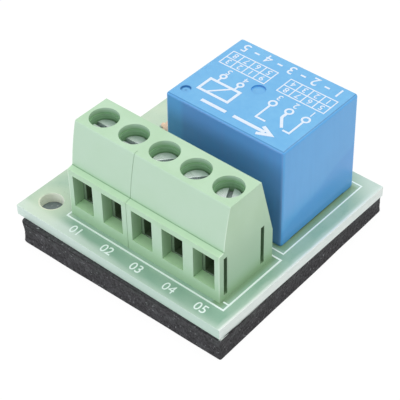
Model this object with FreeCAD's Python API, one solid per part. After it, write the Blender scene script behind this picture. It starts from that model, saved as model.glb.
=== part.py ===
"""Relay module board: a small circuit board on a foam pad, with two green screw
terminal blocks along its front, a sealed cube relay behind them, and a resistor,
a diode and an indicator lamp beside the relay.

Every piece is drawn from the board's front left corner, with X along the row of
terminals, Y towards the relay and z = 0 on the board's upper face. The finished
pieces are then moved so that the origin is below the board's centre, on the
surface that the foam pad rests on. Lengths are in millimetres.
"""
import FreeCAD, Part
import math
import os
from collections import namedtuple

V = FreeCAD.Vector

# Circuit board and its two mounting holes
BOARD_LENGTH = 35.1
BOARD_DEPTH = 33.9
BOARD_THICKNESS = 1.6
MOUNT_HOLE_RADIUS = 1.6
MOUNT_HOLE_FROM_LEFT = 3.12
MOUNT_HOLE_FROM_EDGE = 3.5

# Foam pad and the adhesive film that holds it to the board. The pad is stuck on a little
# askew: FOAM_TURN is its angle in degrees, and the insets are those before it is turned.
FOAM_THICKNESS = 3.4
FILM_THICKNESS = 0.1
FOAM_INSET_LEFT = 0.97
FOAM_INSET_RIGHT = 0.18
FOAM_OVERHANG_FRONT = 0.42
FOAM_OVERHANG_BACK = 0.22
FOAM_TURN = 1.2
FOAM_CORNER_RADIUS = 0.5
POCKET_CLEARANCE = 0.3

# Leads that pass through the board, and their solder
LEAD_STUB = 1.3
HOLE_CLEARANCE = 0.1
SOLDER_HEIGHT = 1.0
SOLDER_FOOT_WIDTH = 0.65
SOLDER_TIP_WIDTH = 0.2
SOLDER_CLEARANCE = 0.02
SMALL_ROUND_SIDES = 8

# Terminal block housings: outer form
PITCH = 5.08
HOUSING_FROM_LEFT = 6.83
HOUSING_FROM_FRONT = 3.5
HOUSING_DEPTH = 10.2
HOUSING_HEIGHT = 14.4
HOUSING_END_GAP = 0.03
LEDGE_HEIGHT = 7.73
LEDGE_DEPTH = 0.9
LEDGE_RISE = 0.2
BROW_SETBACK = 2.1
BROW_BULGE = 0.15
BROW_EDGE_RADIUS = 0.3
TOP_BACK_FROM_FACE = 7.8
BACK_KNEE_HEIGHT = 5.08

# Terminal block housings: wire windows, screw wells and dovetails
WINDOW_WIDTH = 3.41
WINDOW_SILL = 1.84
WINDOW_HEIGHT = 5.08
FRONT_WALL = 1.7
HEAD_RECESS = 1.6
WELL_CLEARANCE = 0.13
WELL_MOUTH_STEP = 0.1
WELL_MOUTH_DEPTH = 0.8
SHELF_THICKNESS = 0.9
SHELF_CLEARANCE = 0.1
NIB_REACH = 0.25
NIB_HEIGHT = 0.5
NIB_LENGTH = 3.0
DOVETAIL_FRONT = 1.12
DOVETAIL_BACK = 8.18
DOVETAIL_NECK = 0.66
DOVETAIL_FLARE = 0.12
DOVETAIL_DEPTH = 0.62
DOVETAIL_BOTTOM = 0.7
DOVETAIL_TOP = 6.95
DOVETAIL_CLEARANCE = 0.06

# Wire clamps: cage, screw and contact
CAGE_WIDTH = 3.9
CAGE_DEPTH = 6.0
CAGE_SIDE_WALL = 0.6
CAGE_FLOOR = 0.6
CAGE_ROOF = 1.2
CAGE_CLEARANCE = 0.08
CAGE_REST_GAP = 0.05
SCREW_RADIUS = 1.25
SCREW_CLEARANCE = 0.05
HEAD_RADIUS = 1.75
HEAD_HEIGHT = 1.3
HEAD_CHAMFER = 0.15
SLOT_WIDTH = 0.62
SLOT_DEPTH = 0.7
SLOT_ANGLES = (0.0, 4.0, 49.0, 48.0, -63.0)
TONGUE_WIDTH = 2.3
TONGUE_THICKNESS = 0.8
TONGUE_SETBACK = 1.0
TONGUE_GAP = 0.1
TIP_GAP = 0.2
STRIP_BEHIND_CAVITY = 0.5
STRIP_CLEARANCE = 0.05
TERMINAL_PIN_WIDTH = 1.0
TERMINAL_SHOULDER = 0.6

# Relay: case and base
RELAY_FROM_LEFT = 12.56
RELAY_FROM_FRONT = 15.98
RELAY_LENGTH = 19.27
RELAY_WIDTH = 15.51
RELAY_CASE_HEIGHT = 15.16
RELAY_STANDOFF = 0.3
RELAY_DRAFT = 0.11
RELAY_WALL = 0.8
RELAY_CORNER_RADIUS = 0.45
RELAY_TOP_RADIUS = 0.4
FOOT_SIZE = 2.0
FOOT_INSET = 0.1
GATE_RADIUS = 0.98
GATE_DEPTH = 0.25
GATE_FROM_LEFT = 8.9
GATE_FROM_FRONT = 8.0
VENT_RADIUS = 0.7
VENT_DEPTH = 0.2
VENT_FROM_LEFT = 1.7
VENT_FROM_FRONT = 2.25
BASE_THICKNESS = 1.6
BASE_RECESS = 0.3
BASE_CLEARANCE = 0.05

# Relay: coil, iron and contacts
COMMON_PIN_FROM_LEFT = 2.3
COIL_PIN_FROM_COMMON = 2.0
PIN_FROM_SIDE = 1.75
COIL_PIN_WIDTH = 0.5
COIL_PIN_STAND = 0.5
IRON_THICKNESS = 1.1
IRON_WIDTH = 8.5
YOKE_FOOT_BEYOND_CORE = 1.4
YOKE_TO_BOBBIN = 0.1
CORE_RADIUS = 2.0
CORE_CLEARANCE = 0.03
POLE_RADIUS = 3.4
POLE_THICKNESS = 0.6
BOBBIN_WALL = 0.7
BOBBIN_FLANGE = 0.7
BOBBIN_FLANGE_WIDTH = 10.6
BOBBIN_TAIL_WIDTH = 1.4
WINDING_RADIUS = 4.9
SEAT_GAP = 0.02
ARMATURE_BEYOND_POLE = 1.1
ARMATURE_ANGLE = 3.0
LEAF_THICKNESS = 0.2
LEAF_WIDTH = 5.0
LEAF_BEYOND_CONTACT = 1.2
RIVET_RADIUS = 0.5
RIVET_HEIGHT = 0.25
RIVET_CLEARANCE = 0.04
RIVET_SPREAD = 1.4
RIVET_FROM_PIVOT = 6.0
RETURN_LEAF_LENGTH = 6.0
CONTACT_FROM_RIGHT = 3.32
CONTACT_RADIUS = 1.0
CONTACT_HEIGHT = 0.45
CONTACT_GAP = 0.05
BLADE_THICKNESS = 0.4
BLADE_WIDTH = 2.2
CONTACT_PIN_WIDTH = 1.0
ROOF_CLEARANCE = 0.25

# Parts between the relay and the left edge
AXIAL_LEAD_RADIUS = 0.28
AXIAL_LEAD_RUN = 1.0
AXIAL_BEND_RADIUS = 0.5
RESISTOR_FROM_LEFT = 5.5
RESISTOR_FROM_FRONT = 23.7
RESISTOR_LENGTH = 5.4
RESISTOR_CAP_RADIUS = 1.2
RESISTOR_WAIST_RADIUS = 1.0
RESISTOR_CAP_LENGTH = 1.5
RESISTOR_CHAMFER = 0.3
DIODE_FROM_LEFT = 5.2
DIODE_FROM_FRONT = 20.2
DIODE_LENGTH = 5.1
DIODE_RADIUS = 1.3
DIODE_CHAMFER = 0.2
AXIAL_STANDOFF = 0.1
LAMP_FROM_LEFT = 9.0
LAMP_FROM_FRONT = 16.6
LAMP_RADIUS = 1.5
LAMP_FLANGE_RADIUS = 1.9
LAMP_FLANGE_HEIGHT = 1.0
LAMP_BARREL_HEIGHT = 2.4
LAMP_STANDOFF = 0.2
LAMP_LEAD_SPREAD = 1.27
LAMP_LEAD_WIDTH = 0.5
LAMP_POST_HEIGHT = 2.6
LAMP_ARM_HEIGHT = 0.7
LAMP_ARM_GAP = 0.3

# How a swept section turns a sharp corner of its path: each side carries on to the mitre
MITRED_CORNERS = 1
ROUNDING = 1e-6

# A lead's place on the board, and its size along X and Y. A round lead has no depth.
Lead = namedtuple("Lead", "x y width depth")


def box(x_range, y_range, z_range):
    """Returns a block between the given pairs of limits."""
    low = V(x_range[0], y_range[0], z_range[0])
    size = V(x_range[1], y_range[1], z_range[1]) - low
    return Part.makeBox(size.x, size.y, size.z, low)


def around(centre, width):
    """Returns the two limits of a width centred on a place."""
    return (centre - width / 2, centre + width / 2)


def same(a, b):
    """Tells whether two places on an axis are one, apart from rounding."""
    return abs(a - b) < ROUNDING


def post(x, y, radius, z_low, z_high):
    """Returns an upright round post."""
    return Part.makeCylinder(radius, z_high - z_low, V(x, y, z_low))


def prism(points, along):
    """Returns the outline of the points, closed and carried along a vector."""
    return Part.Face(closed(points)).extrude(along)


def turned(profile, axis_point, axis):
    """Returns the closed outline of the profile's points, turned round an axis."""
    return Part.Face(closed(profile)).revolve(axis_point, axis, 360)


def rectangle(x_range, y_range, z):
    """Returns a flat rectangular wire."""
    corners = [(0, 0), (1, 0), (1, 1), (0, 1), (0, 0)]
    return Part.makePolygon([V(x_range[i], y_range[j], z) for i, j in corners])


def rounded_rectangle(x_range, y_range, z, radius):
    """Returns a flat wire: a rectangle whose corners are arcs."""
    edges = []
    corners = (
        (x_range[1], y_range[0], -90),
        (x_range[1], y_range[1], 0),
        (x_range[0], y_range[1], 90),
        (x_range[0], y_range[0], 180),
    )
    ends = []
    for x, y, start in corners:
        centre = V(
            x + math.copysign(radius, sum(x_range) / 2 - x),
            y + math.copysign(radius, sum(y_range) / 2 - y),
            z,
        )
        arc = Part.makeCircle(radius, centre, V(0, 0, 1), start, start + 90)
        first = arc.valueAt(arc.FirstParameter)
        if ends:
            edges.append(Part.makeLine(ends[-1], first))
        edges.append(arc)
        ends.append(arc.valueAt(arc.LastParameter))
    edges.append(Part.makeLine(ends[-1], edges[0].valueAt(edges[0].FirstParameter)))
    return Part.Wire(edges)


def small_round(centre, radius, across):
    """Returns the corners of the regular polygon round a small circle that lies in Y and across."""
    corner = radius / math.cos(math.pi / SMALL_ROUND_SIDES)
    points = []
    for side in range(SMALL_ROUND_SIDES):
        turn = 2 * math.pi * (side + 0.5) / SMALL_ROUND_SIDES
        points.append(centre + (across * math.cos(turn) + V(0, 1, 0) * math.sin(turn)) * corner)
    return points


def closed(points):
    """Returns the closed wire through the points."""
    return Part.makePolygon(points + points[:1])


def small_post(x, y, radius, z_low, z_high):
    """Returns an upright post whose section is a small circle's polygon."""
    return prism(small_round(V(x, y, z_low), radius, V(1, 0, 0)), V(0, 0, z_high - z_low))


def small_cone(x, y, radii, z_range):
    """Returns an upright cone with flat sides, from one small circle's polygon to another."""
    low, high = [small_round(V(x, y, z), r, V(1, 0, 0)) for z, r in zip(z_range, radii)]
    faces = [Part.Face(closed(low)), Part.Face(closed(high))]
    for i in range(SMALL_ROUND_SIDES):
        faces.append(Part.Face(closed([low[i - 1], low[i], high[i], high[i - 1]])))
    return Part.Solid(Part.Shell(faces))


def lead_section(lead, clearance, z_low, z_high):
    """Returns a lead's own section, made larger by a clearance, between two heights."""
    if lead.depth:
        x_range = around(lead.x, lead.width + 2 * clearance)
        y_range = around(lead.y, lead.depth + 2 * clearance)
        return box(x_range, y_range, (z_low, z_high))
    return small_post(lead.x, lead.y, lead.width / 2 + clearance, z_low, z_high)


def lead_reach(lead):
    """Returns the radius of the circle round a lead's section."""
    return math.hypot(lead.width, lead.depth) / 2


def stub_end():
    """Returns the height at which the leads are cut off under the board."""
    return -BOARD_THICKNESS - LEAD_STUB


# Places in a terminal block, from the board's upper face


def pole_centre(pole):
    """Returns the X of a pole, counted from 0 at the left."""
    return HOUSING_FROM_LEFT + (pole + 0.5) * PITCH


def screw_line():
    """Returns the Y of the row of screws."""
    return cage_front() + CAGE_DEPTH / 2


def cage_front():
    """Returns the Y of the cages' front ends."""
    return HOUSING_FROM_FRONT + FRONT_WALL + CAGE_CLEARANCE


def cavity_back():
    """Returns the Y of the back wall of the cages' cavities."""
    return cage_front() + CAGE_DEPTH + CAGE_CLEARANCE


def cage_bottom():
    """Returns the height of a lowered cage's underside, so that its floor meets the sill."""
    return WINDOW_SILL + CAGE_REST_GAP - CAGE_FLOOR


def cage_roof_bottom():
    """Returns the height of a lowered cage's roof, just above the window's head."""
    return WINDOW_SILL + WINDOW_HEIGHT - CAGE_REST_GAP


def head_bottom():
    """Returns the height of the shelf that a screw's head turns on."""
    return HOUSING_HEIGHT - HEAD_RECESS - HEAD_HEIGHT


def tongue_top():
    """Returns the height of a contact's upper face."""
    return cage_roof_bottom() - TONGUE_GAP


def strip_range():
    """Returns the Y limits of a contact's upright strip."""
    front = cavity_back() + STRIP_BEHIND_CAVITY
    return (front, front + TONGUE_THICKNESS)


def terminal_lead(pole):
    """Returns the lead of a terminal's contact."""
    return Lead(pole_centre(pole), sum(strip_range()) / 2, TERMINAL_PIN_WIDTH, TONGUE_THICKNESS)


# Terminal blocks


def housing_profile(x):
    """Returns the side outline of a housing, as a face at one X."""

    def at(from_face, z):
        return V(x, HOUSING_FROM_FRONT + from_face, z)

    brow_foot = at(LEDGE_DEPTH, LEDGE_HEIGHT + LEDGE_RISE)
    brow_head = at(BROW_SETBACK, HOUSING_HEIGHT)
    middle = (brow_foot + brow_head) * 0.5 - V(0, BROW_BULGE, 0)
    straight = [
        brow_head,
        at(TOP_BACK_FROM_FACE, HOUSING_HEIGHT),
        at(HOUSING_DEPTH, BACK_KNEE_HEIGHT),
        at(HOUSING_DEPTH, 0),
        at(0, 0),
        at(0, LEDGE_HEIGHT),
        brow_foot,
    ]
    edges = [Part.makeLine(a, b) for a, b in zip(straight, straight[1:])]
    edges.append(Part.Arc(brow_foot, middle, brow_head).toShape())
    return Part.Face(Part.Wire(edges))


def soften_brow(housing):
    """Rounds the long edge between a housing's leaning front and its top."""
    y = HOUSING_FROM_FRONT + BROW_SETBACK
    edges = [
        edge
        for edge in housing.Edges
        if all(same(v.Y, y) and same(v.Z, HOUSING_HEIGHT) for v in edge.Vertexes)
    ]
    return housing.makeFillet(BROW_EDGE_RADIUS, edges)


def dovetail(face_x, from_face, growth, z_range):
    """Returns a dovetail that goes in along -X from a block's right-hand end face."""
    y = HOUSING_FROM_FRONT + from_face
    neck = DOVETAIL_NECK / 2 + growth
    wide = neck + DOVETAIL_FLARE
    depth = DOVETAIL_DEPTH + growth
    points = [
        V(face_x, y - neck, z_range[0]),
        V(face_x, y + neck, z_range[0]),
        V(face_x - depth, y + wide, z_range[0]),
        V(face_x - depth, y - wide, z_range[0]),
    ]
    return prism(points, V(0, 0, z_range[1] - z_range[0]))


def retaining_nib(pole, side):
    """Returns a ramp on a cavity's side wall, which keeps a lowered cage in."""
    wall = pole_centre(pole) + side * (CAGE_WIDTH / 2 + CAGE_CLEARANCE)
    top = cage_bottom() - CAGE_REST_GAP
    y_low, y_high = around(screw_line(), NIB_LENGTH)
    points = [
        V(wall + side * NIB_REACH, y_low, top),
        V(wall - side * NIB_REACH, y_low, top),
        V(wall, y_low, top - NIB_HEIGHT),
        V(wall + side * NIB_REACH, y_low, top - NIB_HEIGHT),
    ]
    return prism(points, V(0, y_high - y_low, 0))


def pole_cuts(pole):
    """Returns what is hollow in one pole: window, cavity, screw well and strip slot."""
    x = pole_centre(pole)
    y = screw_line()
    cavity_width = CAGE_WIDTH + 2 * CAGE_CLEARANCE
    inner_front = HOUSING_FROM_FRONT + FRONT_WALL
    shelf_bottom = head_bottom() - SHELF_THICKNESS
    well = HEAD_RADIUS + WELL_CLEARANCE
    strip_back = strip_range()[1] + STRIP_CLEARANCE
    slot_top = tongue_top() + STRIP_CLEARANCE
    return [
        box(
            around(x, WINDOW_WIDTH),
            (HOUSING_FROM_FRONT, inner_front),
            (WINDOW_SILL, WINDOW_SILL + WINDOW_HEIGHT),
        ),
        box(around(x, cavity_width), (inner_front, cavity_back()), (0, shelf_bottom)),
        post(x, y, SCREW_RADIUS + SHELF_CLEARANCE, shelf_bottom, head_bottom()),
        post(x, y, well, head_bottom(), HOUSING_HEIGHT),
        post(x, y, well + WELL_MOUTH_STEP, HOUSING_HEIGHT - WELL_MOUTH_DEPTH, HOUSING_HEIGHT),
        box(
            around(x, TONGUE_WIDTH + 2 * STRIP_CLEARANCE),
            (strip_range()[0] - STRIP_CLEARANCE, strip_back),
            (0, slot_top),
        ),
        box(
            around(x, TONGUE_WIDTH + 2 * STRIP_CLEARANCE),
            (cavity_back(), strip_back),
            (slot_top - TONGUE_THICKNESS - 2 * STRIP_CLEARANCE, slot_top),
        ),
    ]


def terminal_housing(first_pole, poles):
    """Returns a moulded housing for some poles, with its dovetails at both ends."""
    left = HOUSING_FROM_LEFT + first_pole * PITCH + HOUSING_END_GAP
    right = HOUSING_FROM_LEFT + (first_pole + poles) * PITCH - HOUSING_END_GAP
    housing = soften_brow(housing_profile(left).extrude(V(right - left, 0, 0)))
    numbers = range(first_pole, first_pole + poles)
    hollow = [cut for pole in numbers for cut in pole_cuts(pole)]
    slot_range = (DOVETAIL_BOTTOM, DOVETAIL_TOP)
    tongue_range = (DOVETAIL_BOTTOM + DOVETAIL_CLEARANCE, DOVETAIL_TOP - DOVETAIL_CLEARANCE)
    tongues = []
    for from_face in (DOVETAIL_FRONT, DOVETAIL_BACK):
        hollow.append(dovetail(right, from_face, 0, slot_range))
        tongues.append(dovetail(left, from_face, -DOVETAIL_CLEARANCE, tongue_range))
    nibs = [retaining_nib(pole, side) for pole in numbers for side in (-1, 1)]
    return housing.cut(hollow).fuse(tongues + nibs).removeSplitter()


def clamp_cage(pole):
    """Returns a lowered clamp cage, with its threaded hole at the hole's own size."""
    x = pole_centre(pole)
    y_range = (cage_front(), cage_front() + CAGE_DEPTH)
    floor = cage_bottom() + CAGE_FLOOR
    ceiling = cage_roof_bottom()
    cage = box(around(x, CAGE_WIDTH), y_range, (cage_bottom(), ceiling + CAGE_ROOF))
    inside = box(around(x, CAGE_WIDTH - 2 * CAGE_SIDE_WALL), y_range, (floor, ceiling))
    thread = post(x, screw_line(), SCREW_RADIUS + SCREW_CLEARANCE, ceiling, ceiling + CAGE_ROOF)
    return cage.cut([inside, thread])


def clamp_screw(pole, slot_angle):
    """Returns a clamp screw: shank and slotted head, resting on the housing's shelf."""
    x = pole_centre(pole)
    y = screw_line()
    bottom = head_bottom()
    top = bottom + HEAD_HEIGHT
    profile = [
        V(x, y, tongue_top() + TIP_GAP),
        V(x + SCREW_RADIUS, y, tongue_top() + TIP_GAP),
        V(x + SCREW_RADIUS, y, bottom),
        V(x + HEAD_RADIUS, y, bottom),
        V(x + HEAD_RADIUS, y, top - HEAD_CHAMFER),
        V(x + HEAD_RADIUS - HEAD_CHAMFER, y, top),
        V(x, y, top),
    ]
    screw = turned(profile, V(x, y, 0), V(0, 0, 1))
    slot = box(around(x, 2 * HEAD_RADIUS), around(y, SLOT_WIDTH), (top - SLOT_DEPTH, top))
    slot.rotate(V(x, y, 0), V(0, 0, 1), slot_angle)
    return screw.cut(slot)


def terminal_pin(pole):
    """Returns a contact: a tongue inside the cage, a strip behind it and a solder pin."""
    lead = terminal_lead(pole)
    x_range = around(lead.x, TONGUE_WIDTH)
    top = tongue_top()
    tongue = box(
        x_range,
        (cage_front() + TONGUE_SETBACK, strip_range()[1]),
        (top - TONGUE_THICKNESS, top),
    )
    strip = box(x_range, strip_range(), (TERMINAL_SHOULDER, top))
    pin = lead_section(lead, 0, stub_end(), TERMINAL_SHOULDER)
    return tongue.fuse([strip, pin]).removeSplitter()


# Places in the relay, from the board's upper face


def relay_x(from_left):
    """Returns the X of a place in the relay, counted from its left side."""
    return RELAY_FROM_LEFT + from_left


def relay_middle():
    """Returns the Y of the relay's middle plane."""
    return RELAY_FROM_FRONT + RELAY_WIDTH / 2


def relay_top():
    """Returns the height of the relay's flat top."""
    return RELAY_STANDOFF + RELAY_CASE_HEIGHT


def base_top():
    """Returns the height of the base's inner face."""
    return RELAY_STANDOFF + BASE_RECESS + BASE_THICKNESS


def pin_spread():
    """Returns how far the coil's and contacts' leads stand from the relay's middle plane."""
    return RELAY_WIDTH / 2 - PIN_FROM_SIDE


def yoke_range():
    """Returns the X limits of the yoke's upright leg."""
    return around(relay_x(COMMON_PIN_FROM_LEFT), IRON_THICKNESS)


def coil_x():
    """Returns the X of the coil's upright axis."""
    return yoke_range()[1] + YOKE_TO_BOBBIN + BOBBIN_FLANGE_WIDTH / 2


def bobbin_bottom():
    """Returns the height of the bobbin's underside, on the yoke's foot."""
    return base_top() + IRON_THICKNESS + 2 * SEAT_GAP


def pole_face():
    """Returns the height of the core's pole face, level with the yoke's top."""
    contacts = 2 * CONTACT_HEIGHT + CONTACT_GAP + BLADE_THICKNESS
    moving = SEAT_GAP + IRON_THICKNESS + LEAF_THICKNESS + contact_lift()
    return relay_top() - RELAY_WALL - ROOF_CLEARANCE - contacts - moving


def bobbin_top():
    """Returns the height of the bobbin's upper face, just under the core's pole."""
    return pole_face() - POLE_THICKNESS - SEAT_GAP


def pivot():
    """Returns the armature's pivot line, at the yoke's outer top edge."""
    return V(yoke_range()[0], relay_middle(), pole_face())


def common_lead():
    """Returns the lead of the common contact, which is the yoke's own tail."""
    x = relay_x(COMMON_PIN_FROM_LEFT)
    return Lead(x, relay_middle(), IRON_THICKNESS, CONTACT_PIN_WIDTH)


def coil_lead(side):
    """Returns the lead of one end of the coil."""
    x = relay_x(COMMON_PIN_FROM_LEFT + COIL_PIN_FROM_COMMON)
    return Lead(x, relay_middle() + side * pin_spread(), COIL_PIN_WIDTH, COIL_PIN_WIDTH)


def contact_x():
    """Returns the X of the contacts."""
    return relay_x(RELAY_LENGTH - CONTACT_FROM_RIGHT)


def contact_lift():
    """Returns how far the moving button's far edge rises when the armature is released."""
    return (contact_x() + CONTACT_RADIUS - yoke_range()[0]) * math.sin(math.radians(ARMATURE_ANGLE))


def contact_lead(side):
    """Returns the lead of the contact blade on one side of the relay."""
    y = relay_middle() + side * pin_spread()
    return Lead(contact_x(), y, CONTACT_PIN_WIDTH, BLADE_THICKNESS)


def relay_leads():
    """Returns the relay's five leads."""
    sides = (-1, 1)
    return [common_lead()] + [coil_lead(s) for s in sides] + [contact_lead(s) for s in sides]


# Relay


def relay_case():
    """Returns the moulded case: drafted walls, an open underside and four corner feet."""
    x_range = (relay_x(0), relay_x(RELAY_LENGTH))
    y_range = (RELAY_FROM_FRONT, RELAY_FROM_FRONT + RELAY_WIDTH)
    top = relay_top()
    upper_x = (x_range[0] + RELAY_DRAFT, x_range[1] - RELAY_DRAFT)
    upper_y = (y_range[0] + RELAY_DRAFT, y_range[1] - RELAY_DRAFT)
    lower = rectangle(x_range, y_range, RELAY_STANDOFF)
    case = Part.makeLoft([lower, rectangle(upper_x, upper_y, top)], True, True)
    upright = [e for e in case.Edges if e.BoundBox.ZLength > RELAY_CASE_HEIGHT / 2]
    case = case.makeFillet(RELAY_CORNER_RADIUS, upright)
    rim = [e for e in case.Edges if all(same(v.Z, top) for v in e.Vertexes)]
    case = case.makeFillet(RELAY_TOP_RADIUS, rim)
    inner_x = (x_range[0] + RELAY_WALL, x_range[1] - RELAY_WALL)
    inner_y = (y_range[0] + RELAY_WALL, y_range[1] - RELAY_WALL)
    gate_x = relay_x(GATE_FROM_LEFT)
    gate_y = RELAY_FROM_FRONT + GATE_FROM_FRONT
    vent_x = relay_x(VENT_FROM_LEFT)
    vent_y = RELAY_FROM_FRONT + VENT_FROM_FRONT
    case = case.cut(
        [
            box(inner_x, inner_y, (RELAY_STANDOFF, top - RELAY_WALL)),
            post(gate_x, gate_y, GATE_RADIUS, top - GATE_DEPTH, top),
            post(vent_x, vent_y, VENT_RADIUS, top - VENT_DEPTH, top),
        ]
    )
    foot_x = (x_range[0] + FOOT_INSET, x_range[1] - FOOT_INSET)
    foot_y = (y_range[0] + FOOT_INSET, y_range[1] - FOOT_INSET)
    foot_z = (0, RELAY_STANDOFF)
    outline = Part.Face(rounded_rectangle(foot_x, foot_y, 0, RELAY_CORNER_RADIUS))
    gap_x = (foot_x[0] + FOOT_SIZE, foot_x[1] - FOOT_SIZE)
    gap_y = (foot_y[0] + FOOT_SIZE, foot_y[1] - FOOT_SIZE)
    gaps = [box(inner_x, inner_y, foot_z), box(foot_x, gap_y, foot_z), box(gap_x, foot_y, foot_z)]
    feet = outline.extrude(V(0, 0, RELAY_STANDOFF)).cut(gaps)
    return case.fuse(feet.Solids).removeSplitter()


def relay_base():
    """Returns the plate that closes the case from below, with holes for the leads."""
    inset = RELAY_WALL + BASE_CLEARANCE
    z_range = (RELAY_STANDOFF + BASE_RECESS, base_top())
    plate = box(
        (relay_x(inset), relay_x(RELAY_LENGTH - inset)),
        (RELAY_FROM_FRONT + inset, RELAY_FROM_FRONT + RELAY_WIDTH - inset),
        z_range,
    )
    return plate.cut([lead_section(lead, BASE_CLEARANCE, *z_range) for lead in relay_leads()])


def relay_yoke():
    """Returns the iron yoke: a foot under the coil, an upright leg and the common lead."""
    y_range = around(relay_middle(), IRON_WIDTH)
    foot_bottom = base_top() + SEAT_GAP
    x_low, x_high = yoke_range()
    x_foot = coil_x() + CORE_RADIUS + YOKE_FOOT_BEYOND_CORE
    foot = box((x_low, x_foot), y_range, (foot_bottom, foot_bottom + IRON_THICKNESS))
    leg = box((x_low, x_high), y_range, (foot_bottom, pole_face()))
    tail = lead_section(common_lead(), 0, stub_end(), foot_bottom)
    seat = post(
        coil_x(), relay_middle(), CORE_RADIUS + CORE_CLEARANCE, foot_bottom, foot_bottom + IRON_THICKNESS
    )
    return foot.fuse([leg, tail]).removeSplitter().cut(seat)


def coil_core():
    """Returns the iron core: a round pin riveted in the yoke, with a wide pole."""
    x = coil_x()
    y = relay_middle()
    pin = post(x, y, CORE_RADIUS, base_top() + SEAT_GAP, pole_face())
    pole = post(x, y, POLE_RADIUS, pole_face() - POLE_THICKNESS, pole_face())
    return pin.fuse(pole).removeSplitter()


def coil_bobbin():
    """Returns the bobbin: a tube, two square flanges and a tail that holds the coil leads."""
    x = coil_x()
    y = relay_middle()
    low = bobbin_bottom()
    high = bobbin_top()
    tube_radius = CORE_RADIUS + CORE_CLEARANCE + BOBBIN_WALL
    lead_x = coil_lead(1).x
    reach = 2 * pin_spread() + BOBBIN_TAIL_WIDTH / 2
    tail = box((lead_x - BOBBIN_TAIL_WIDTH / 2, x), around(y, reach), (low, low + BOBBIN_FLANGE))
    square = (around(x, BOBBIN_FLANGE_WIDTH), around(y, BOBBIN_FLANGE_WIDTH))
    flanges = [
        box(*square, (low, low + BOBBIN_FLANGE)),
        box(*square, (high - BOBBIN_FLANGE, high)),
    ]
    body = post(x, y, tube_radius, low, high).fuse(flanges + [tail]).removeSplitter()
    holes = [post(x, y, CORE_RADIUS + CORE_CLEARANCE, low, high)]
    for side in (-1, 1):
        holes.append(lead_section(coil_lead(side), SEAT_GAP, low, low + BOBBIN_FLANGE))
    return body.cut(holes)


def coil_winding():
    """Returns the coil's copper winding as one thick ring between the flanges."""
    x = coil_x()
    y = relay_middle()
    low = bobbin_bottom() + BOBBIN_FLANGE + SEAT_GAP
    high = bobbin_top() - BOBBIN_FLANGE - SEAT_GAP
    inner = CORE_RADIUS + CORE_CLEARANCE + BOBBIN_WALL + SEAT_GAP
    return post(x, y, WINDING_RADIUS, low, high).cut(post(x, y, inner, low, high))


def coil_pin(side):
    """Returns one of the two square coil leads, which stand in the bobbin's tail."""
    return lead_section(coil_lead(side), 0, stub_end(), bobbin_bottom() + BOBBIN_FLANGE + COIL_PIN_STAND)


def armature_seat():
    """Returns the height of the pulled-in armature's underside."""
    return pole_face() + SEAT_GAP


def leaf_bottom():
    """Returns the height of the moving leaf's underside while the armature is pulled in."""
    return armature_seat() + IRON_THICKNESS


def released(shape):
    """Turns a piece from the pulled-in place to the released one, about the pivot line."""
    shape.rotate(pivot(), V(0, 1, 0), -ARMATURE_ANGLE)
    return shape


def rivet_places():
    """Returns the two places where the moving leaf is riveted to the armature."""
    x = pivot().x + RIVET_FROM_PIVOT
    return [(x, relay_middle() + side * RIVET_SPREAD) for side in (-1, 1)]


def relay_armature():
    """Returns the armature plate and its two rivets, in the released place."""
    plate = box(
        (pivot().x, coil_x() + POLE_RADIUS + ARMATURE_BEYOND_POLE),
        around(relay_middle(), IRON_WIDTH),
        (armature_seat(), leaf_bottom()),
    )
    top = leaf_bottom() + LEAF_THICKNESS + RIVET_HEIGHT
    rivets = [small_post(x, y, RIVET_RADIUS, armature_seat(), top) for x, y in rivet_places()]
    return released(plate.fuse(rivets).removeSplitter())


def contact_spring():
    """Returns the moving leaf with its contact button on both faces, released."""
    low = leaf_bottom()
    high = low + LEAF_THICKNESS
    x_range = (pivot().x, contact_x() + LEAF_BEYOND_CONTACT)
    leaf = box(x_range, around(relay_middle(), LEAF_WIDTH), (low, high))
    button = post(
        contact_x(), relay_middle(), CONTACT_RADIUS, low - CONTACT_HEIGHT, high + CONTACT_HEIGHT
    )
    hole_radius = RIVET_RADIUS + RIVET_CLEARANCE
    holes = [small_post(x, y, hole_radius, low, high) for x, y in rivet_places()]
    return released(leaf.fuse(button).removeSplitter().cut(holes))


def return_spring():
    """Returns the fixed half of the leaf, flat against the back of the yoke."""
    outer = yoke_range()[0] - SEAT_GAP
    high = pole_face()
    return box(
        (outer - LEAF_THICKNESS, outer),
        around(relay_middle(), LEAF_WIDTH),
        (high - RETURN_LEAF_LENGTH, high),
    )


def contact_blade(side, tab_bottom, button_side):
    """Returns a fixed contact: a blade in the base, a tab over the middle and a button."""
    lead = contact_lead(side)
    x_range = around(contact_x(), BLADE_WIDTH)
    tab_top = tab_bottom + BLADE_THICKNESS
    pin = lead_section(lead, 0, stub_end(), base_top())
    blade = box(x_range, around(lead.y, BLADE_THICKNESS), (base_top(), tab_top))
    far_edge = relay_middle() - side * BLADE_WIDTH / 2
    outer_edge = lead.y + side * BLADE_THICKNESS / 2
    tab = box(x_range, sorted((far_edge, outer_edge)), (tab_bottom, tab_top))
    if button_side > 0:
        button_range = (tab_top, tab_top + CONTACT_HEIGHT)
    else:
        button_range = (tab_bottom - CONTACT_HEIGHT, tab_bottom)
    button = post(contact_x(), relay_middle(), CONTACT_RADIUS, *button_range)
    return blade.fuse([pin, tab, button]).removeSplitter()


def normally_open_contact():
    """Returns the lower contact, which the moving button meets when pulled in."""
    meets = leaf_bottom() - CONTACT_HEIGHT - CONTACT_GAP
    return contact_blade(1, meets - CONTACT_HEIGHT - BLADE_THICKNESS, 1)


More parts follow.
